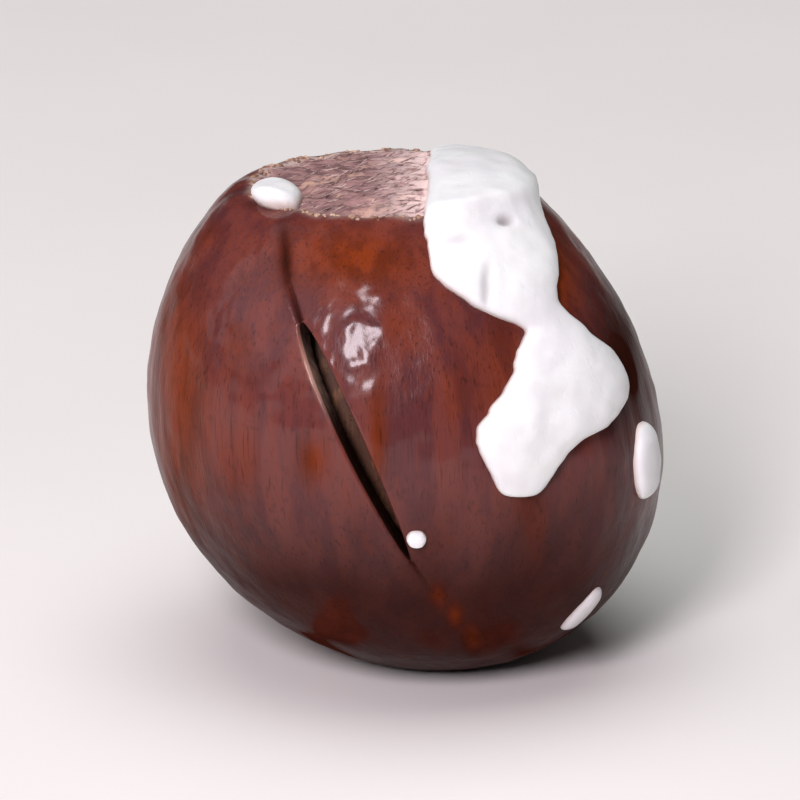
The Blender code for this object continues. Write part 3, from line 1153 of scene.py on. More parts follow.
@dataclass(frozen=True)
class KernelFinish:
    """Papery brown skin with paler veins."""

    skin: Colour = (78, 44, 24)
    veins: Veil = Veil((122, 80, 48), 0.5, 0.7)
    shaded: Colour = (50, 26, 14)
    shade_strength: float = 0.35
    streaks: Texture = Texture(1.5, 4.0, 0.6, (14.0, 14.0, 1.6))
    blotch_scale: float = 500.0
    speck_scale: float = 3500.0
    roughness: float = 0.7
    speck_height: float = 0.4
    relief_mm: float = 0.06

    def material(self, mottle: Tree) -> Material:
        """Builds the material.

        Args:
            mottle: The shared blotches and specks.

        Returns:
            The finished material.
        """
        material, made, shader = new_material("kernel_skin")
        streaks = made.noise(made.attribute("streaks", vector=True), self.streaks)
        blotches, specks = made.spots(mottle, self.blotch_scale, self.speck_scale)
        colour = made.veiled(linear(*self.skin), streaks, self.veins)
        shaded = made.math("MULTIPLY", blotches, self.shade_strength)
        colour = made.mix(shaded, colour, linear(*self.shaded))
        made.feed(shader.inputs["Base Color"], colour)
        shader.inputs["Roughness"].default_value = self.roughness
        height = made.weighed((streaks, 1.0), (specks, self.speck_height))
        made.feed(shader.inputs["Normal"], made.bumped(height, self.relief_mm))
        return material


@dataclass(frozen=True)
class GlazeFinish:
    """White glaze, dried to a chalky gloss, with faint cool and warm clouds, and a painted shade
    grey in its dents and on the low streak.
    """

    white: Colour = (234, 236, 235)
    cloud: Colour = (214, 212, 215)
    cloud_strength: float = 0.55
    stain: Colour = (214, 196, 186)
    stain_strength: float = 0.8
    # Grey of the painted shade in the dents and on the low streak.
    painted_shade_colour: Colour = (150, 140, 142)
    blotch_scale: float = 420.0
    speck_scale: float = 2400.0
    roughness: float = 0.34
    blotch_roughness: float = 0.12
    depth_weight: float = 0.25
    depth_reach: Colour = (0.0008, 0.0007, 0.0006)
    ripples: Texture = Texture(1300.0)
    speck_height: float = -0.35
    relief_mm: float = 0.035
    relief_strength: float = 0.6

    def material(self, mottle: Tree) -> Material:
        """Builds the material.

        Args:
            mottle: The shared blotches and specks.

        Returns:
            The finished material.
        """
        material, made, shader = new_material("dried_glaze")
        blotches, specks = made.spots(mottle, self.blotch_scale, self.speck_scale)
        clouds = made.math("MULTIPLY", blotches, self.cloud_strength)
        colour = made.mix(clouds, linear(*self.white), linear(*self.cloud))
        stained = made.math("MULTIPLY", made.attribute("edge"), self.stain_strength)
        colour = made.mix(stained, colour, linear(*self.stain))
        # Painted shade in the dents and over the low streak.
        colour = made.mix(made.attribute("shadow"), colour, linear(*self.painted_shade_colour))
        made.feed(shader.inputs["Base Color"], colour)
        rough = made.math("MULTIPLY_ADD", blotches, self.blotch_roughness, self.roughness)
        made.feed(shader.inputs["Roughness"], rough)
        shader.inputs["Subsurface Weight"].default_value = self.depth_weight
        shader.inputs["Subsurface Radius"].default_value = self.depth_reach
        shader.inputs["Subsurface Scale"].default_value = 1.0
        ripples = made.noise(made.place(), self.ripples)
        height = made.weighed((specks, self.speck_height), (ripples, 1.0))
        normal = made.bumped(height, self.relief_mm, self.relief_strength)
        made.feed(shader.inputs["Normal"], normal)
        return material


@dataclass(frozen=True)
class Relief:
    """A layer of fine relief: its height, how fine it is along three axes, seed and octaves."""

    height: float
    fineness: Colour
    seed: float
    octaves: int = 2

    def at(self, places: Array) -> Array:
        """Height of the layer at some places, about 0."""
        return self.height * grainy(places * np.array(self.fineness), self.seed, self.octaves)


@dataclass(frozen=True)
class StainsAndPaintedLight:
    """Where the shell's colours lie on its outside, painted shade and painted highlights among
    them.
    """

    form: NutForm
    slit: Slit
    edge_wander: Relief = Relief(0.22, (9.0, 9.0, 9.0), 7.0)
    blotches: Relief = Relief(1.0, (3.0, 3.0, 1.5), 8.0)
    blotch_reach: Span = (0.15, 0.6)
    blotch_rust: float = 0.45
    rust_patches: tuple[Row, ...] = (
        (-1.8, 5.2, 2.9, 1.3),
        (-8.9, -0.6, 1.1, 5.4),
        (6.5, 4.6, 1.0, 2.2),
        (1.5, -8.0, 0.3, 0.4),
        (2.1, -8.6, 0.3, 0.4),
        (2.7, -9.2, 0.4, 0.4),
        (-3.6, -2.9, 0.6, 0.9),
        (-0.9, -1.7, 0.35, 2.0),
    )
    # Painted shade: a thin line along the crack above the slit, and the right side.
    shade_patches: tuple[Row, ...] = ((-4.5, 5.2, 0.28, 1.3), (9.3, 1.6, 1.2, 4.2))
    patch_shade: float = 0.9
    dark_tip: Span = (math.radians(88), math.radians(128))
    tip_wander: float = 0.12
    tip_shade: float = 0.8
    rust_in_tip: float = 0.5
    crack_inset: float = 0.05
    crack_width: float = 0.18
    crack_shade: float = 0.8
    scar_edge: Span = (1.0, 0.94)
    rim_place: float = 0.99
    rim_width: float = 0.2
    rim_least: float = 0.3
    rim_behind: float = 0.5
    behind: Span = (-0.1, 0.35)
    lip_place: Span = (0.04, 0.1)
    lip_stretch: Span = (0.2, 0.12)
    lip_slack: float = 0.05
    lip_strength: float = 0.5

    def lip_highlight(self, share: Array, beside: Array) -> Array:
        """The painted highlight along a stretch of the slit's left lip.

        Args:
            share: Shares of the way along the slit.
            beside: Distances from its line in millimetres, negative to its left.

        Returns:
            Numbers from 0 to 1.
        """
        from_lip = -beside - self.slit.width(share)
        on_lip = (share > 0) & (share < 1) & (from_lip > -self.lip_slack)
        pale = bump(from_lip, *self.lip_place) * bump(share, *self.lip_stretch)
        return self.lip_strength * pale * on_lip

    def shade(self, directions: Array, share: Array, beside: Array, dark_tip: Array) -> Array:
        """Painted shade on some patches and along the cracks, and the dark tip, partly a darker
        roast and partly painted shade.

        Args:
            directions: Directions from the nut's centre.
            share: Shares of the way along the slit.
            beside: Distances from its line in millimetres.
            dark_tip: How dark the tip is there.

        Returns:
            Numbers from 0 to 1.
        """
        patches = self.patch_shade * self.form.in_patches(directions, self.shade_patches)
        # Painted shade along the cracks beyond the slit's ends.
        run = self.slit.crack_run(share, self.crack_inset) * ((share < 0) | (share > 1))
        crack = self.crack_shade * run * bump(beside, 0.0, self.crack_width)
        return np.maximum.reduce((patches, crack, dark_tip))

    def masks(self, directions: Array) -> dict[Mask, Array]:
        """The masks of the outside, painted shade and painted highlights among them.

        Args:
            directions: Directions from the nut's centre.

        Returns:
            Numbers from 0 to 1 for each mask.
        """
        form = self.form
        edge = form.across_scar(directions) + self.edge_wander.at(directions)
        scar_from, scar_to = (share * form.scar_radius for share in self.scar_edge)
        blotches = self.blotches.at(form.streak_places(directions))
        share, beside = self.slit.share_and_beside(directions)
        beside = beside * form.body
        blotched = self.blotch_rust * ramp(blotches, *self.blotch_reach)
        rust = np.maximum(form.in_patches(directions, self.rust_patches), blotched)
        angle, _ = form.angle_and_turn(directions)
        # Darker towards the tip: partly a darker roast, partly painted shade.
        tip = self.tip_shade * ramp(angle + self.tip_wander * blotches, *self.dark_tip)
        tip = tip * (1 - self.rust_in_tip * rust)
        # Painted highlight along the scar's rim, stronger at the back.
        rim = self.rim_least + self.rim_behind * ramp(directions[:, 1], *self.behind)
        return {
            Mask.SCAR: ramp(edge, scar_from, scar_to),
            Mask.RIM: rim * bump(edge, self.rim_place * form.scar_radius, self.rim_width),
            Mask.LIP: self.lip_highlight(share, beside),
            Mask.RUST: rust,
            Mask.SHADE: self.shade(directions, share, beside, tip),
        }


@dataclass
class Shell:
    """The shell: outside, slit walls and hollow in one skin of loops round the slit."""

    form: NutForm
    slit: Slit
    stains_and_light: StainsAndPaintedLight
    columns: int = 352
    crowding: float = 0.3
    first_rise: float = 0.1
    first_step: float = 0.004
    step_growth: float = 1.14
    spacing: float = 0.19
    inside_spacing: float = 0.75
    inside_step: float = 0.024
    least_across: float = 0.12
    far_reach: float = 70.0
    wall_loops: int = 7
    lumps: Relief = Relief(0.05, (5.5, 5.5, 5.5), 1.0)
    blisters: Relief = Relief(0.06, (13.0, 13.0, 13.0), 24.0)
    least_blistered: float = 0.3
    blister_patches: tuple[Row, ...] = ((-1.4, 2.6, 1.6, 2.4), (-1.0, 4.6, 2.4, 0.9))
    grooves: Relief = Relief(0.03, (16.0, 16.0, 1.3), 2.0)
    ripples: Relief = Relief(0.018, (34.0, 34.0, 6.0), 3.0, 1)
    crumbs: Relief = Relief(0.12, (26.0, 26.0, 26.0), 4.0)
    crumb_reach: float = 0.5
    scar_ridges: Relief = Relief(0.09, (0.9, 3.4, 1.0), 5.0, 3)
    scar_pits: Relief = Relief(1.0, (2.3, 2.3, 2.3), 6.0)
    scar_fade: Span = (1.02, 0.92)
    pit_reach: Span = (0.25, 0.6)
    pit_depth: float = 0.16
    tears: Relief = Relief(0.035, (3.2, 3.2, 3.2), 9.0)

    def turns(self) -> Array:
        """Where the columns lie round each loop, crowded about the slit's two ends."""
        even = np.arange(self.columns) * TURN / self.columns
        return even - self.crowding * np.sin(2 * even) / 2

    def rises(self, spacing: float, first_step: float) -> Array:
        """Loops from the slit's edge to the far side, fine at first.

        Args:
            spacing: Distance between loops that the steps grow to, in millimetres.
            first_step: The first step.

        Returns:
            How far out each loop is.
        """
        half_length = 2 * math.tan(self.slit.arc() / 4)
        focus = half_length / math.cosh(self.first_rise)
        found, step = [self.first_rise], first_step
        while True:
            reach = focus * math.cosh(found[-1])
            across = max(reach / (1 + reach**2 / 4), self.least_across)
            if reach > self.far_reach:
                return np.array(found)
            step = min(step * self.step_growth, spacing / (self.form.body * across))
            found.append(found[-1] + step)

    def fine_relief(self, directions: Array) -> Array:
        """Lumps in the lacquer, grooves that run from scar to tip, and a crumbly rim.

        Args:
            directions: Directions from the nut's centre.

        Returns:
            One height for each direction.
        """
        angle, _ = self.form.angle_and_turn(directions)
        places = self.form.streak_places(directions)
        blistered = self.form.in_patches(directions, self.blister_patches)
        blistered = self.least_blistered + (1 - self.least_blistered) * blistered
        lumps = self.lumps.at(directions) + self.blisters.at(directions) * blistered
        grooves = self.grooves.at(places) + self.ripples.at(places)
        across = self.form.across_scar(directions)
        near_rim = bump(across, self.form.scar_radius, self.crumb_reach)
        return lumps + grooves * np.sin(angle) ** 2 + self.crumbs.at(directions) * near_rim

    def scar_texture(self, directions: Array) -> Array:
        """Fibrous ridges and pits of the scar itself.

        Args:
            directions: Directions from the nut's centre.

        Returns:
            One height for each direction.
        """
        _, turn = self.form.angle_and_turn(directions)
        across = self.form.across_scar(directions)
        inside = ramp(across, *(share * self.form.scar_radius for share in self.scar_fade))
        flat = np.stack((across * np.cos(turn), across * np.sin(turn), across * 0), axis=1)
        pits = self.pit_depth * ramp(self.scar_pits.at(flat), *self.pit_reach)
        return inside * (self.scar_ridges.at(flat) - pits)

    def outside_radius(self, directions: Array) -> Array:
        """Radius of the finished outside, down to the flat spot.

        Args:
            directions: Directions from the nut's centre.

        Returns:
            One radius for each direction.
        """
        raised = self.slit.raised(directions) + self.fine_relief(directions)
        radius = self.form.shell_radius(directions, raised) + self.scar_texture(directions)
        return self.form.above_floor(directions, radius)

    def build(self, finish: Material) -> Piece:
        """Builds the shell's mesh.

        Args:
            finish: Its material.

        Returns:
            The piece, with its masks stored on it.
        """
        columns, turns = self.columns, self.turns()
        middle, _, square = self.slit.frame()
        cavity = float(self.form.cavity_radius(middle[None])[0])
        outer = self.slit.loops(self.rises(self.spacing, self.first_step), turns, self.form.body)
        inner = self.slit.loops(self.rises(self.inside_spacing, self.inside_step), turns, cavity)
        outer_points = self.form.placed(outer, self.outside_radius(outer))
        inner_points = self.form.placed(inner, self.form.cavity_radius(inner))
        lip, floor = outer_points[:columns], inner_points[:columns]
        shares = np.linspace(0, 1, self.wall_loops + 2)[1:-1]
        wall = np.concatenate([lip * (1 - share) + floor * share for share in shares])
        wall = wall + self.tears.at(wall / MM)[:, None] * MM * square

        far = -middle[None]
        outer_pole = self.form.placed(far, self.outside_radius(far))
        inner_pole = self.form.placed(far, self.form.cavity_radius(far))
        from_far_side = outer_points.reshape(-1, columns, 3)[::-1].reshape(-1, 3)
        points = np.concatenate((from_far_side, wall, inner_points, outer_pole, inner_pole))
        last = len(points) - 2
        faces = closed_faces(last // columns, columns)
        piece = add_piece("nut_shell", points, faces, Slot.SHELL, "shell")

        directions = unit(points / MM - np.array(self.form.centre))
        walled, hollow = np.zeros(len(points)), np.zeros(len(points))
        walled[len(outer) - columns : len(outer) + len(wall)] = 1.0
        hollow[len(outer) + len(wall) : last] = 1.0
        hollow[last + 1] = 1.0
        piece.data.materials.append(finish)
        for mask, values in self.stains_and_light.masks(directions).items():
            set_attribute(piece, mask.value, values * (1 - hollow))
        set_attribute(piece, Mask.CUT.value, walled)
        set_attribute(piece, Mask.INSIDE.value, hollow)
        set_attribute(piece, "streaks", self.form.streak_places(directions))
        return piece


@dataclass(frozen=True)
class Strewing:
    """How one kind of grain is strewn: band of the scar's radius, number, size, turn, finish."""

    band: Span
    per_square_metre: float
    length_mm: float
    width_mm: float
    turned_by: float
    seed: int
    finish: GrainFinish


FIBRE_FINISH = GrainFinish("scar_fibre", (184, 158, 152), (126, 100, 95))
CRUMB_FINISH = GrainFinish("rim_crumb", (190, 160, 138), (112, 72, 52))
STREWINGS = {
    Grain.FIBRE: Strewing((0.0, 0.95), 4.5e6, 0.8, 0.07, 0.5, 7, FIBRE_FINISH),
    Grain.CRUMB: Strewing((0.95, 1.04), 9.0e6, 0.24, 0.17, math.pi, 27, CRUMB_FINISH),
}


@dataclass
class ScarGrains:
    """Fibres over the scar, and crumbs along its rim, strewn by geometry nodes."""

    shell: Shell
    rings: int = 24
    columns: int = 96
    middle: float = 0.05
    lie_along: Colour = (0.86, 0.5, 0.0)
    flatness: float = 0.7
    size_range: Span = (0.45, 1.3)
    sides: int = 6
    grain_rings: int = 5

    def patch(self, kind: Grain) -> Piece:
        """The part of the outside that is strewn.

        Args:
            kind: Fibres take the whole scar, crumbs a band along its rim.

        Returns:
            A helper object with that part as its mesh.
        """
        form = self.shell.form
        inner, outer = STREWINGS[kind].band
        across = np.linspace(inner, outer, self.rings) * form.scar_radius
        turn = np.arange(self.columns) * TURN / self.columns
        out, around = np.meshgrid(np.maximum(across, self.middle), turn, indexing="ij")
        flat = form.sideways(around) * out.reshape(-1, 1)
        directions = unit(form.axis * form.scar_height + flat)
        points = form.placed(directions, self.shell.outside_radius(directions))
        faces = [face[::-1] for face in ring_faces(self.rings, self.columns)]
        name = kind.value + "_patch"
        return linked(name, meshed(name, points, faces))

    def tree(self) -> Tree:
        """Geometry nodes that strew small drawn-out grains over a surface.

        Returns:
            The tree, with its sizes as named inputs.
        """
        inputs = {
            "Surface": "NodeSocketGeometry",
            "Grains Per Square Metre": "NodeSocketFloat",
            "Grain Length": "NodeSocketFloat",
            "Grain Width": "NodeSocketFloat",
            "Turned By": "NodeSocketFloat",
            "Lie Along": "NodeSocketVector",
            "Seed": "NodeSocketInt",
            "Finish": "NodeSocketMaterial",
        }
        tree, made = new_geometry_tree("strewn_grains", inputs, "Grains")
        given = made.add("NodeGroupInput").outputs

        strewn = made.add("GeometryNodeDistributePointsOnFaces")
        made.feed(strewn.inputs["Mesh"], given["Surface"])
        made.feed(strewn.inputs["Density"], given["Grains Per Square Metre"])
        made.feed(strewn.inputs["Seed"], given["Seed"])
        upright = made.add("FunctionNodeAlignRotationToVector", axis="Z")
        made.feed(upright.inputs["Vector"], strewn.outputs["Normal"])
        lying = made.add("FunctionNodeAlignRotationToVector", axis="X", pivot_axis="Z")
        made.feed(lying.inputs["Rotation"], upright.outputs["Rotation"])
        made.feed(lying.inputs["Vector"], given["Lie Along"])

        least = made.math("MULTIPLY", given["Turned By"], -1.0)
        twist = made.add("FunctionNodeRandomValue", data_type="FLOAT")
        made.feed(twist.inputs[2], least)
        made.feed(twist.inputs[3], given["Turned By"])
        made.feed(twist.inputs["Seed"], made.math("ADD", given["Seed"], 1.0))
        spin = made.add("ShaderNodeCombineXYZ")
        made.feed(spin.inputs["Z"], twist.outputs[1])
        turned = made.add("FunctionNodeRotateRotation", rotation_space="LOCAL")
        made.feed(turned.inputs["Rotation"], lying.outputs["Rotation"])
        made.feed(turned.inputs["Rotate By"], spin.outputs["Vector"])

        grain = made.add("GeometryNodeMeshUVSphere")
        grain.inputs["Segments"].default_value = self.sides
        grain.inputs["Rings"].default_value = self.grain_rings
        grain.inputs["Radius"].default_value = 0.5
        scale = made.add("ShaderNodeCombineXYZ")
        made.feed(scale.inputs["X"], given["Grain Length"])
        made.feed(scale.inputs["Y"], given["Grain Width"])
        made.feed(scale.inputs["Z"], made.math("MULTIPLY", given["Grain Width"], self.flatness))
        varied = made.add("FunctionNodeRandomValue", data_type="FLOAT")
        for socket, size in zip(varied.inputs[2:4], self.size_range):
            made.feed(socket, size)
        made.feed(varied.inputs["Seed"], made.math("ADD", given["Seed"], 2.0))
        sized = made.add("ShaderNodeVectorMath", operation="SCALE")
        made.feed(sized.inputs[0], scale.outputs["Vector"])
        made.feed(sized.inputs["Scale"], varied.outputs[1])
        placed = made.add("GeometryNodeInstanceOnPoints")
        made.feed(placed.inputs["Points"], strewn.outputs["Points"])
        made.feed(placed.inputs["Instance"], grain.outputs["Mesh"])
        made.feed(placed.inputs["Rotation"], turned.outputs["Rotation"])
        made.feed(placed.inputs["Scale"], sized.outputs["Vector"])

        made.end_with(placed.outputs["Instances"], given["Finish"])
        return tree

    def build(self, kind: Grain, tree: Tree, mottle: Tree) -> Piece:
        """Strews one kind of grain.

        Args:
            kind: Which grain.
            tree: The tree from tree().
            mottle: The shared blotches and specks.

        Returns:
            The grains as one piece.
        """
        strewing = STREWINGS[kind]
        values = {
            "Grains Per Square Metre": strewing.per_square_metre,
            "Grain Length": strewing.length_mm * MM,
            "Grain Width": strewing.width_mm * MM,
            "Turned By": strewing.turned_by,
            "Lie Along": self.lie_along,
            "Seed": strewing.seed,
            "Finish": strewing.finish.material(mottle),
        }
        return evaluated(self.patch(kind), tree, values, f"scar_{kind.value}s", Slot.SHELL)


def evaluated(
    helper: Piece,
    tree: Tree,
    values: dict[str, object],
    name: str,
    slot: Slot,
    *nodes: str,
) -> Piece:
    """Runs geometry nodes on a helper and keeps the result as a plain piece.

    Args:
        helper: The object that the tree starts from; it is removed.
        tree: The geometry nodes.
        values: The tree's inputs by name.
        name: Name of the piece.
        slot: Not used.
        *nodes: The solids that it stands for.

    Returns:
        The piece.
    """
    modifier = helper.modifiers.new(tree.name, "NODES")
    modifier.node_group = tree
    for item in tree.interface.items_tree:
        if item.in_out == "INPUT" and item.name in values:
            modifier[item.identifier] = values[item.name]
    graph = bpy.context.evaluated_depsgraph_get()
    mesh = bpy.data.meshes.new_from_object(helper.evaluated_get(graph), depsgraph=graph)
    mesh.name = name
    bpy.data.objects.remove(helper, do_unlink=True)
    mesh.shade_smooth()
    return joined_to_nut(linked(name, mesh), slot, *nodes)


@dataclass
class Kernel:
    """The seed inside, whose papery skin is wrinkled by geometry nodes."""

    form: NutForm
    gap: float = 0.85
    point: float = 0.45
    point_reach: float = math.radians(24)
    creases: int = 9
    crease_depth: float = 0.05
    crease_turn: float = 0.7
    drop: float = 0.12
    segments: int = 160
    rings: int = 80
    wrinkle_depth: float = 0.3
    wrinkles_round: float = 9.0
    wrinkles_along: float = 1.2
    wrinkle_middle: float = 0.7
    wrinkle_layers: float = 3.0
    wrinkle_seed: float = 3.0

    def radius(self, directions: Array) -> Array:
        """Radius of the kernel, blunt below the scar and pointed at the tip.

        Args:
            directions: Directions from the nut's centre.

        Returns:
            One radius for each direction.
        """
        angle, turn = self.form.angle_and_turn(directions)
        point = self.point * bump(math.pi - angle, 0.0, self.point_reach)
        waves = np.cos(self.creases * turn + self.crease_turn)
        creased = self.crease_depth * np.sin(angle) ** 2 * waves
        return self.form.cavity_radius(directions) - self.gap + point + creased

    def tree(self) -> Tree:
        """Geometry nodes that wrinkle a skin along its streaks.

        Returns:
            The tree, with its sizes as named inputs.
        """
        inputs = {
            "Seed Body": "NodeSocketGeometry",
            "Wrinkle Depth": "NodeSocketFloat",
            "Wrinkles Round": "NodeSocketFloat",
            "Seed": "NodeSocketFloat",
            "Finish": "NodeSocketMaterial",
        }
        tree, made = new_geometry_tree("wrinkled_skin", inputs, "Kernel")
        given = made.add("NodeGroupInput").outputs
        streaks = made.add("GeometryNodeInputNamedAttribute", data_type="FLOAT_VECTOR")
        streaks.inputs["Name"].default_value = "streaks"
        stretch = made.add("ShaderNodeCombineXYZ")
        made.feed(stretch.inputs["X"], given["Wrinkles Round"])
        made.feed(stretch.inputs["Y"], given["Wrinkles Round"])
        made.feed(stretch.inputs["Z"], self.wrinkles_along)
        place = made.add("ShaderNodeVectorMath", operation="MULTIPLY")
        made.feed(place.inputs[0], streaks.outputs["Attribute"])
        made.feed(place.inputs[1], stretch.outputs["Vector"])
        wrinkles = made.add("ShaderNodeTexNoise", noise_dimensions="4D")
        made.feed(wrinkles.inputs["Vector"], place.outputs["Vector"])
        made.feed(wrinkles.inputs["W"], given["Seed"])
        wrinkles.inputs["Scale"].default_value = 1.0
        wrinkles.inputs["Detail"].default_value = self.wrinkle_layers
        depth = made.math("SUBTRACT", wrinkles.outputs["Fac"], self.wrinkle_middle)
        depth = made.math("MULTIPLY", depth, given["Wrinkle Depth"])
        outwards = made.add("ShaderNodeVectorMath", operation="SCALE")
        made.feed(outwards.inputs[0], made.add("GeometryNodeInputNormal").outputs["Normal"])
        made.feed(outwards.inputs["Scale"], depth)
        moved = made.add("GeometryNodeSetPosition")
        made.feed(moved.inputs["Geometry"], given["Seed Body"])
        made.feed(moved.inputs["Offset"], outwards.outputs["Vector"])
        made.end_with(moved.outputs["Geometry"], given["Finish"])
        return tree

    def build(self, finish: Material) -> Piece:
        """Builds the kernel.

        Args:
            finish: Its material.

        Returns:
            The piece.
        """
        angles = np.linspace(0, math.pi, self.rings + 2)[1:-1]
        turns = np.arange(self.segments) * TURN / self.segments
        angle, turn = np.meshgrid(angles, turns, indexing="ij")
        angle = angle.reshape(-1, 1)
        sideways = np.sin(angle) * self.form.sideways(turn)
        directions = np.cos(angle) * self.form.axis + sideways
        directions = np.concatenate((directions, (self.form.axis, -self.form.axis)))
        points = self.form.placed(directions, self.radius(directions))
        points[:, 2] -= self.drop * MM
        faces = [face[::-1] for face in closed_faces(self.rings, self.segments)]
        helper = linked("kernel_body", meshed("kernel_body", points, faces))
        set_attribute(helper, "streaks", self.form.streak_places(directions))
        values = {
            "Wrinkle Depth": self.wrinkle_depth * MM,
            "Wrinkles Round": self.wrinkles_round,
            "Seed": self.wrinkle_seed,
            "Finish": finish,
        }
        return evaluated(helper, self.tree(), values, "nut_kernel", Slot.KERNEL, "kernel")


@dataclass(frozen=True)
class Dent:
    """A dent in the glaze, where the front shows it, in millimetres, with the painted shade in it.
    """

    right: float
    up: float
    wide: float
    tall: float
    depth: float
    shadow: float

    def share(self, right_mm: Array, up_mm: Array) -> Array:
        """How far some places are within the dent, 0 to 1."""
        off = ((right_mm - self.right) / self.wide) ** 2 + ((up_mm - self.up) / self.tall) ** 2
        return np.exp(-(off**1.5))


@dataclass
class Splash:
    """A splash of dried glaze through stretches of rows, each stretch in its own view.

    A row is (right, up, half width, thickness) as that view shows it.
    """

    node: str
    stretches: tuple[Stretch, ...]
    squareness: float = 2.0
    segments: int = 40
    rings: int = 36
    lift: float = 0.1
    rim_lift: float = 0.12
    sunk: float = 0.07
    rim_reach: float = math.radians(5)
    ragged: Relief = Relief(0.05, (13.0, 13.0, 13.0), 11.0)
    wander: Relief = Relief(0.07, (5.5, 5.5, 5.5), 13.0, 1)
    uneven: Relief = Relief(0.12, (9.0, 9.0, 9.0), 12.0)
    rings_through: float = 0.2
    side_roundness: float = 0.5
    end_fullness: float = 1.2
    edge_reach: Span = (0.6, 0.2)
    # Painted shade over the whole splash.
    painted_shade: float = 0.0
    dents: tuple[Dent, ...] = ()

    def row_edges(self, form: NutForm) -> Array:
        """Finds where the rows lie on the nut.

        Args:
            form: The nut's form.

        Returns:
            For each row the directions of its left and right edge, and its thickness.
        """
        found = []
        for view, rows in self.stretches:
            right_mm, up_mm, half_width, thickness = np.array(rows).T
            left = form.seen_at(view, right_mm - half_width, up_mm, form.smooth_radius)
            right = form.seen_at(view, right_mm + half_width, up_mm, form.smooth_radius)
            found.append(np.hstack((left, right, thickness[:, None])))
        return np.concatenate(found)

    def dented(self, form: NutForm, points: Array) -> tuple[Array, Array]:
        """Reads the dents at points of the glaze's top.

        Args:
            form: The nut's form.
            points: Points from the nut's centre, in millimetres.

        Returns:
            How deep each point is pressed in, and how dark its painted shade is there.
        """
        right, up, _ = view_frame(form.front)
        depth, shadow = np.zeros(len(points)), np.zeros(len(points))
        for dent in self.dents:
            here = dent.share(points @ right, points @ up)
            depth = depth + dent.depth * here
            shadow = np.maximum(shadow, dent.shadow * here)
        return depth, shadow

    def top(self, shell: Shell, directions: Array, thickness: Array) -> Array:
        """How high the glaze's top stands above its sunk underside, before it rounds off.

        Args:
            shell: What it lies on.
            directions: Directions from the nut's centre.
            thickness: The rows' thickness there.

        Returns:
            One height for each direction.
        """
        form = shell.form
        angle, _ = form.angle_and_turn(directions)
        rim_angle = math.atan(form.scar_radius / form.scar_height)
        raised = shell.slit.raised(directions)
        skin = form.shell_radius(directions, raised)
        filled = form.shell_radius(directions, raised, self.rings_through) - skin
        gap = self.lift + self.rim_lift * bump(angle, rim_angle, self.rim_reach)
        return filled + gap + self.sunk + thickness * (1 + self.uneven.at(directions))

    def build(self, shell: Shell, finish: Material) -> Piece:
        """Builds the splash on the shell.

        Args:
            shell: What it lies on.
            finish: Its material.

        Returns:
            The piece.
        """
        form = shell.form
        along = np.cos(np.linspace(0, math.pi, self.rings + 2)[1:-1])
        turns = np.arange(self.segments) * TURN / self.segments
        place, turn = (grid.ravel() for grid in np.meshgrid(along, turns, indexing="ij"))
        place, turn = np.append(place, (1.0, -1.0)), np.append(turn, (0.0, 0.0))
        end = (1 - np.abs(place) ** self.squareness) ** (1 / self.squareness)
        row = through_rows(self.row_edges(form), (1 - place) / 2)
        left, right, thickness = row[:, :3], row[:, 3:6], row[:, 6]
        side = np.cos(turn)
        edges = np.where(side[:, None] > 0, right, left)
        ragged = 1 + self.ragged.at(edges) + self.wander.at(edges)
        beside = (side * end * ragged)[:, None]
        directions = unit(left * (1 - beside) + right * (1 + beside))

        swell = np.clip(np.sin(turn), 0, 1) ** self.side_roundness
        swell = swell * np.minimum(end * self.end_fullness, 1)
        skin = form.shell_radius(directions, shell.slit.raised(directions))
        depth, shadow = self.dented(form, directions * (skin + thickness)[:, None])
        top = self.top(shell, directions, thickness) * swell - depth * (swell > 0)
        points = form.placed(directions, skin - self.sunk + top)
        faces = closed_faces(self.rings, self.segments)
        name = self.node.replace("glaze", "dried_glaze")
        piece = add_piece(name, points, faces, Slot.GLAZE, self.node)
        piece.data.materials.append(finish)
        set_attribute(piece, "edge", ramp(swell, *self.edge_reach))
        # Painted shade of the dents and of the whole splash.
        set_attribute(piece, "shadow", np.maximum(shadow, self.painted_shade))
        return piece


RUN_OVER_SCAR = (
    (2.5, 7.25, 0.85, 0.3),
    (2.6, 6.65, 1.2, 0.28),
    (2.7, 5.9, 1.6, 0.2),
    (2.8, 5.0, 1.8, 0.22),
    (2.95, 3.7, 1.84, 0.35),
    (2.92, 2.2, 1.95, 0.5),
    (3.05, 0.6, 2.08, 0.6),
)
RUN_IN_FRONT = (
    (3.15, 6.85, 2.2, 0.62),
    (3.33, 6.15, 2.3, 0.58),
    (3.53, 5.5, 2.33, 0.55),
    (3.6, 4.8, 2.4, 0.55),
    (3.78, 4.1, 2.25, 0.55),
    (4.25, 3.45, 1.75, 0.5),
    (4.95, 2.9, 1.4, 0.45),
    (5.85, 2.4, 1.1, 0.42),
    (6.05, 2.0, 1.28, 0.45),
    (6.28, 1.4, 1.85, 0.5),
    (6.4, 0.7, 2.08, 0.58),
    (6.25, 0.0, 2.32, 0.6),
    (6.0, -0.65, 2.4, 0.62),
    (5.4, -1.35, 2.42, 0.62),
    (4.88, -2.0, 2.1, 0.6),
    (4.77, -2.7, 1.78, 0.55),
    (4.68, -3.4, 1.55, 0.5),
    (4.6, -4.1, 1.35, 0.45),
)
BACK_RUN = (
    (1.9, 2.9, 0.9, 0.5),
    (1.9, 2.0, 1.3, 0.55),
    (1.4, 0.9, 1.1, 0.5),
    (0.9, -0.4, 0.7, 0.4),
    (0.8, -1.8, 0.8, 0.45),
    (1.0, -3.0, 1.1, 0.5),
    (1.1, -4.0, 0.8, 0.4),
)
# Dents in the run; the last number of each is its painted shade.
RUN_DENTS = (
    Dent(4.05, 6.5, 0.33, 0.2, 0.22, 0.8),
    Dent(3.36, 4.0, 0.2, 0.85, 0.16, 0.4),
    Dent(2.2, 5.8, 0.6, 0.18, 0.08, 0.25),
)
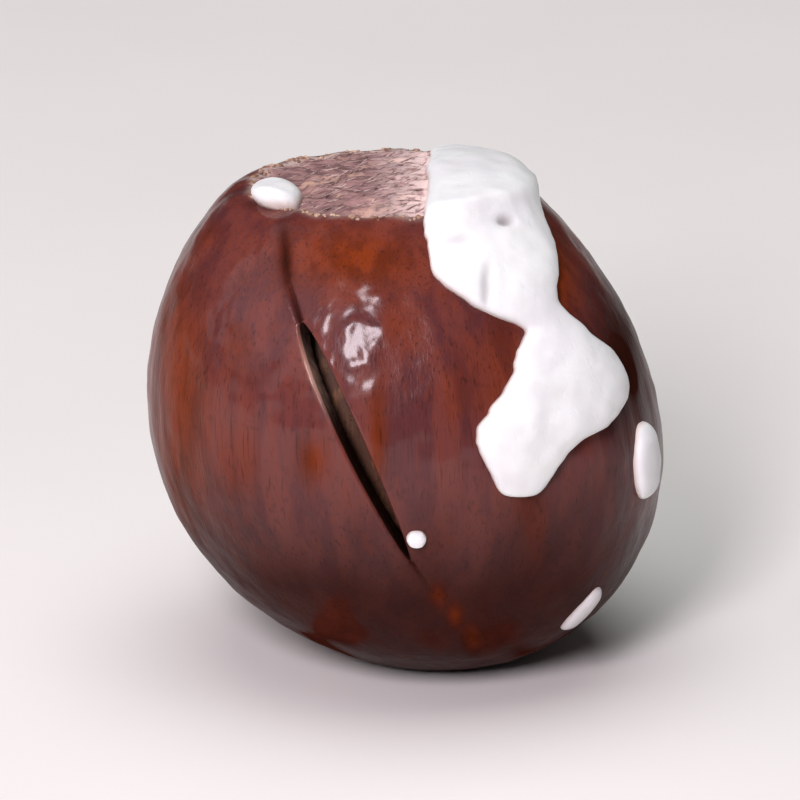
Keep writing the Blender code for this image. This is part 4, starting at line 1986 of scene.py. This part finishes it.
SPLASHES = (
    Splash(
        "glaze_run",
        ((ABOVE, RUN_OVER_SCAR), (FRONT, RUN_IN_FRONT)),
        squareness=4.0,
        segments=96,
        rings=220,
        dents=RUN_DENTS,
    ),
    Splash(
        "glaze_scar_drop",
        ((FRONT, ((-4.62, 7.65, 0.85, 0.7), (-4.6, 7.3, 0.95, 0.7), (-4.6, 6.95, 0.85, 0.7))),),
    ),
    Splash(
        "glaze_side_drop",
        (((66, 0), ((0.1, 0.2, 0.8, 0.35), (0.0, -1.3, 1.0, 0.4), (-0.1, -2.8, 0.8, 0.35))),),
    ),
    Splash(
        "glaze_slit_drop",
        ((FRONT, ((0.63, -5.45, 0.34, 0.3), (0.63, -5.72, 0.39, 0.32), (0.63, -6.0, 0.34, 0.3))),),
    ),
    Splash(
        "glaze_low_streak",
        (((50, -37), ((0.75, 0.8, 0.36, 0.2), (0.4, -0.3, 0.48, 0.22), (0.05, -1.4, 0.36, 0.2))),),
        # The low streak is greyed with painted shade.
        painted_shade=0.45,
    ),
    Splash("glaze_back_run", (((190, 25), BACK_RUN),), squareness=3.0, segments=64, rings=90),
    Splash(
        "glaze_back_drop",
        (((150, 5), ((0.2, 1.4, 0.9, 0.4), (0.3, 0.3, 1.1, 0.45), (0.5, -0.9, 0.8, 0.4))),),
    ),
    Splash(
        "glaze_left_drop",
        (((-118, -15), ((-0.3, 0.9, 0.7, 0.4), (-0.1, -0.1, 0.95, 0.45), (0.1, -1.1, 0.75, 0.4))),),
    ),
)


@dataclass(frozen=True)
class Lamp:
    """A soft rectangular lamp: where it shines from, distance and size in metres, watts, tint."""

    name: str
    view: View
    distance: float
    size: Span
    power: float
    tint: Colour
    in_gloss: bool = True


@dataclass
class Studio:
    """A pale floor, soft lamps and the camera.

    The window makes the highlight beside the slit. The sky and the room only fill, so neither
    is seen in the lacquer.
    """

    form: NutForm
    lens: float = 515.0
    distance: float = 0.45
    aim_up: float = -0.0004
    clip: Span = (0.01, 10.0)
    floor_reach: float = 1.2
    floor_pale: Colour = (227, 224, 221)
    floor_deep: Colour = (220, 217, 214)
    floor_clouds: Texture = Texture(60.0)
    floor_roughness: float = 0.7
    room: Colour = (236, 233, 235)
    room_strength: float = 0.08
    lamps: tuple[Lamp, ...] = (
        Lamp("window", (-17.0, 34.0), 0.3, (0.07, 0.11), 0.85, (1.0, 0.91, 0.98)),
        Lamp("sky", (10.0, 92.0), 0.45, (0.4, 0.4), 1.5, (0.98, 1.0, 1.0), in_gloss=False),
        Lamp("side", (-80.0, 34.0), 0.45, (0.4, 0.45), 0.6, (1.0, 0.92, 0.97)),
    )

    def floor(self) -> None:
        """Lays a pale floor.

        It belongs to the stage, not to the nut.
        """
        corners = np.array(((-1, -1, 0), (1, -1, 0), (1, 1, 0), (-1, 1, 0))) * self.floor_reach
        floor = linked("floor", meshed("floor", corners, [(0, 1, 2, 3)]))
        material, made, shader = new_material("pale_floor")
        cloud = made.noise(made.place(), self.floor_clouds)
        colour = made.mix(cloud, linear(*self.floor_deep), linear(*self.floor_pale))
        made.feed(shader.inputs["Base Color"], colour)
        shader.inputs["Roughness"].default_value = self.floor_roughness
        floor.data.materials.append(material)

    def aimed(self, thing: Piece, towards: Vector, distance: float) -> None:
        """Stands a lamp or the camera off and aims it at the nut.

        Args:
            thing: The lamp or the camera.
            towards: Direction in which it stands from the nut's centre.
            distance: How far off, in metres.
        """
        thing.location = self.form.centre * MM + towards * distance
        thing.rotation_mode = "QUATERNION"
        thing.rotation_quaternion = towards.to_track_quat("Z", "Y")

    def light(self, lamp: Lamp) -> None:
        """Sets up a lamp.

        Args:
            lamp: The lamp.
        """
        data = bpy.data.lights.new(lamp.name, "AREA")
        data.shape = "RECTANGLE"
        data.size, data.size_y = lamp.size
        data.energy = lamp.power
        data.color = lamp.tint
        light = linked(lamp.name, data)
        light.visible_glossy = lamp.in_gloss
        self.aimed(light, Vector(view_frame(lamp.view)[2]), lamp.distance)

    def camera(self) -> None:
        """The camera, at the photograph's angle.

        It stands far off with a long lens, as the photograph's perspective is nearly flat.
        """
        data = bpy.data.cameras.new("camera")
        data.lens = self.lens
        data.clip_start, data.clip_end = self.clip
        camera = linked("camera", data)
        _, up, towards = (Vector(way) for way in view_frame(self.form.front))
        self.aimed(camera, towards, self.distance)
        camera.location += up * self.aim_up
        bpy.context.scene.camera = camera

    def build(self) -> None:
        """Sets the whole stage.

        The room's light is faint, so that the window shapes the nut.
        """
        self.floor()
        for lamp in self.lamps:
            self.light(lamp)
        world = bpy.data.worlds.new("room")
        bpy.context.scene.world = world
        world.use_nodes = True
        background = world.node_tree.nodes["Background"]
        background.inputs["Color"].default_value = linear(*self.room)
        background.inputs["Strength"].default_value = self.room_strength
        world.cycles_visibility.glossy = False
        bpy.context.scene.view_settings.view_transform = "Standard"
        self.camera()


def main() -> None:
    """Builds the nut and its stage.

    The pieces come first, each replacing its solid, then the floor, the lights and the camera.
    """
    logging.basicConfig(level=logging.INFO, format="%(message)s")
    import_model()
    form = NutForm()
    slit = Slit(form)
    mottle = mottle_group()

    shell = Shell(form, slit, StainsAndPaintedLight(form, slit))
    pieces = [shell.build(ShellFinish().material(mottle))]
    grains = ScarGrains(shell)
    tree = grains.tree()
    pieces += [grains.build(kind, tree, mottle) for kind in Grain]
    pieces.append(Kernel(form).build(KernelFinish().material(mottle)))
    glaze = GlazeFinish().material(mottle)
    pieces += [splash.build(shell, glaze) for splash in SPLASHES]
    for piece in pieces:
        LOG.info("%s: %d faces", piece.name, len(piece.data.polygons))

    Studio(form).build()


if __name__ == "__main__":
    main()
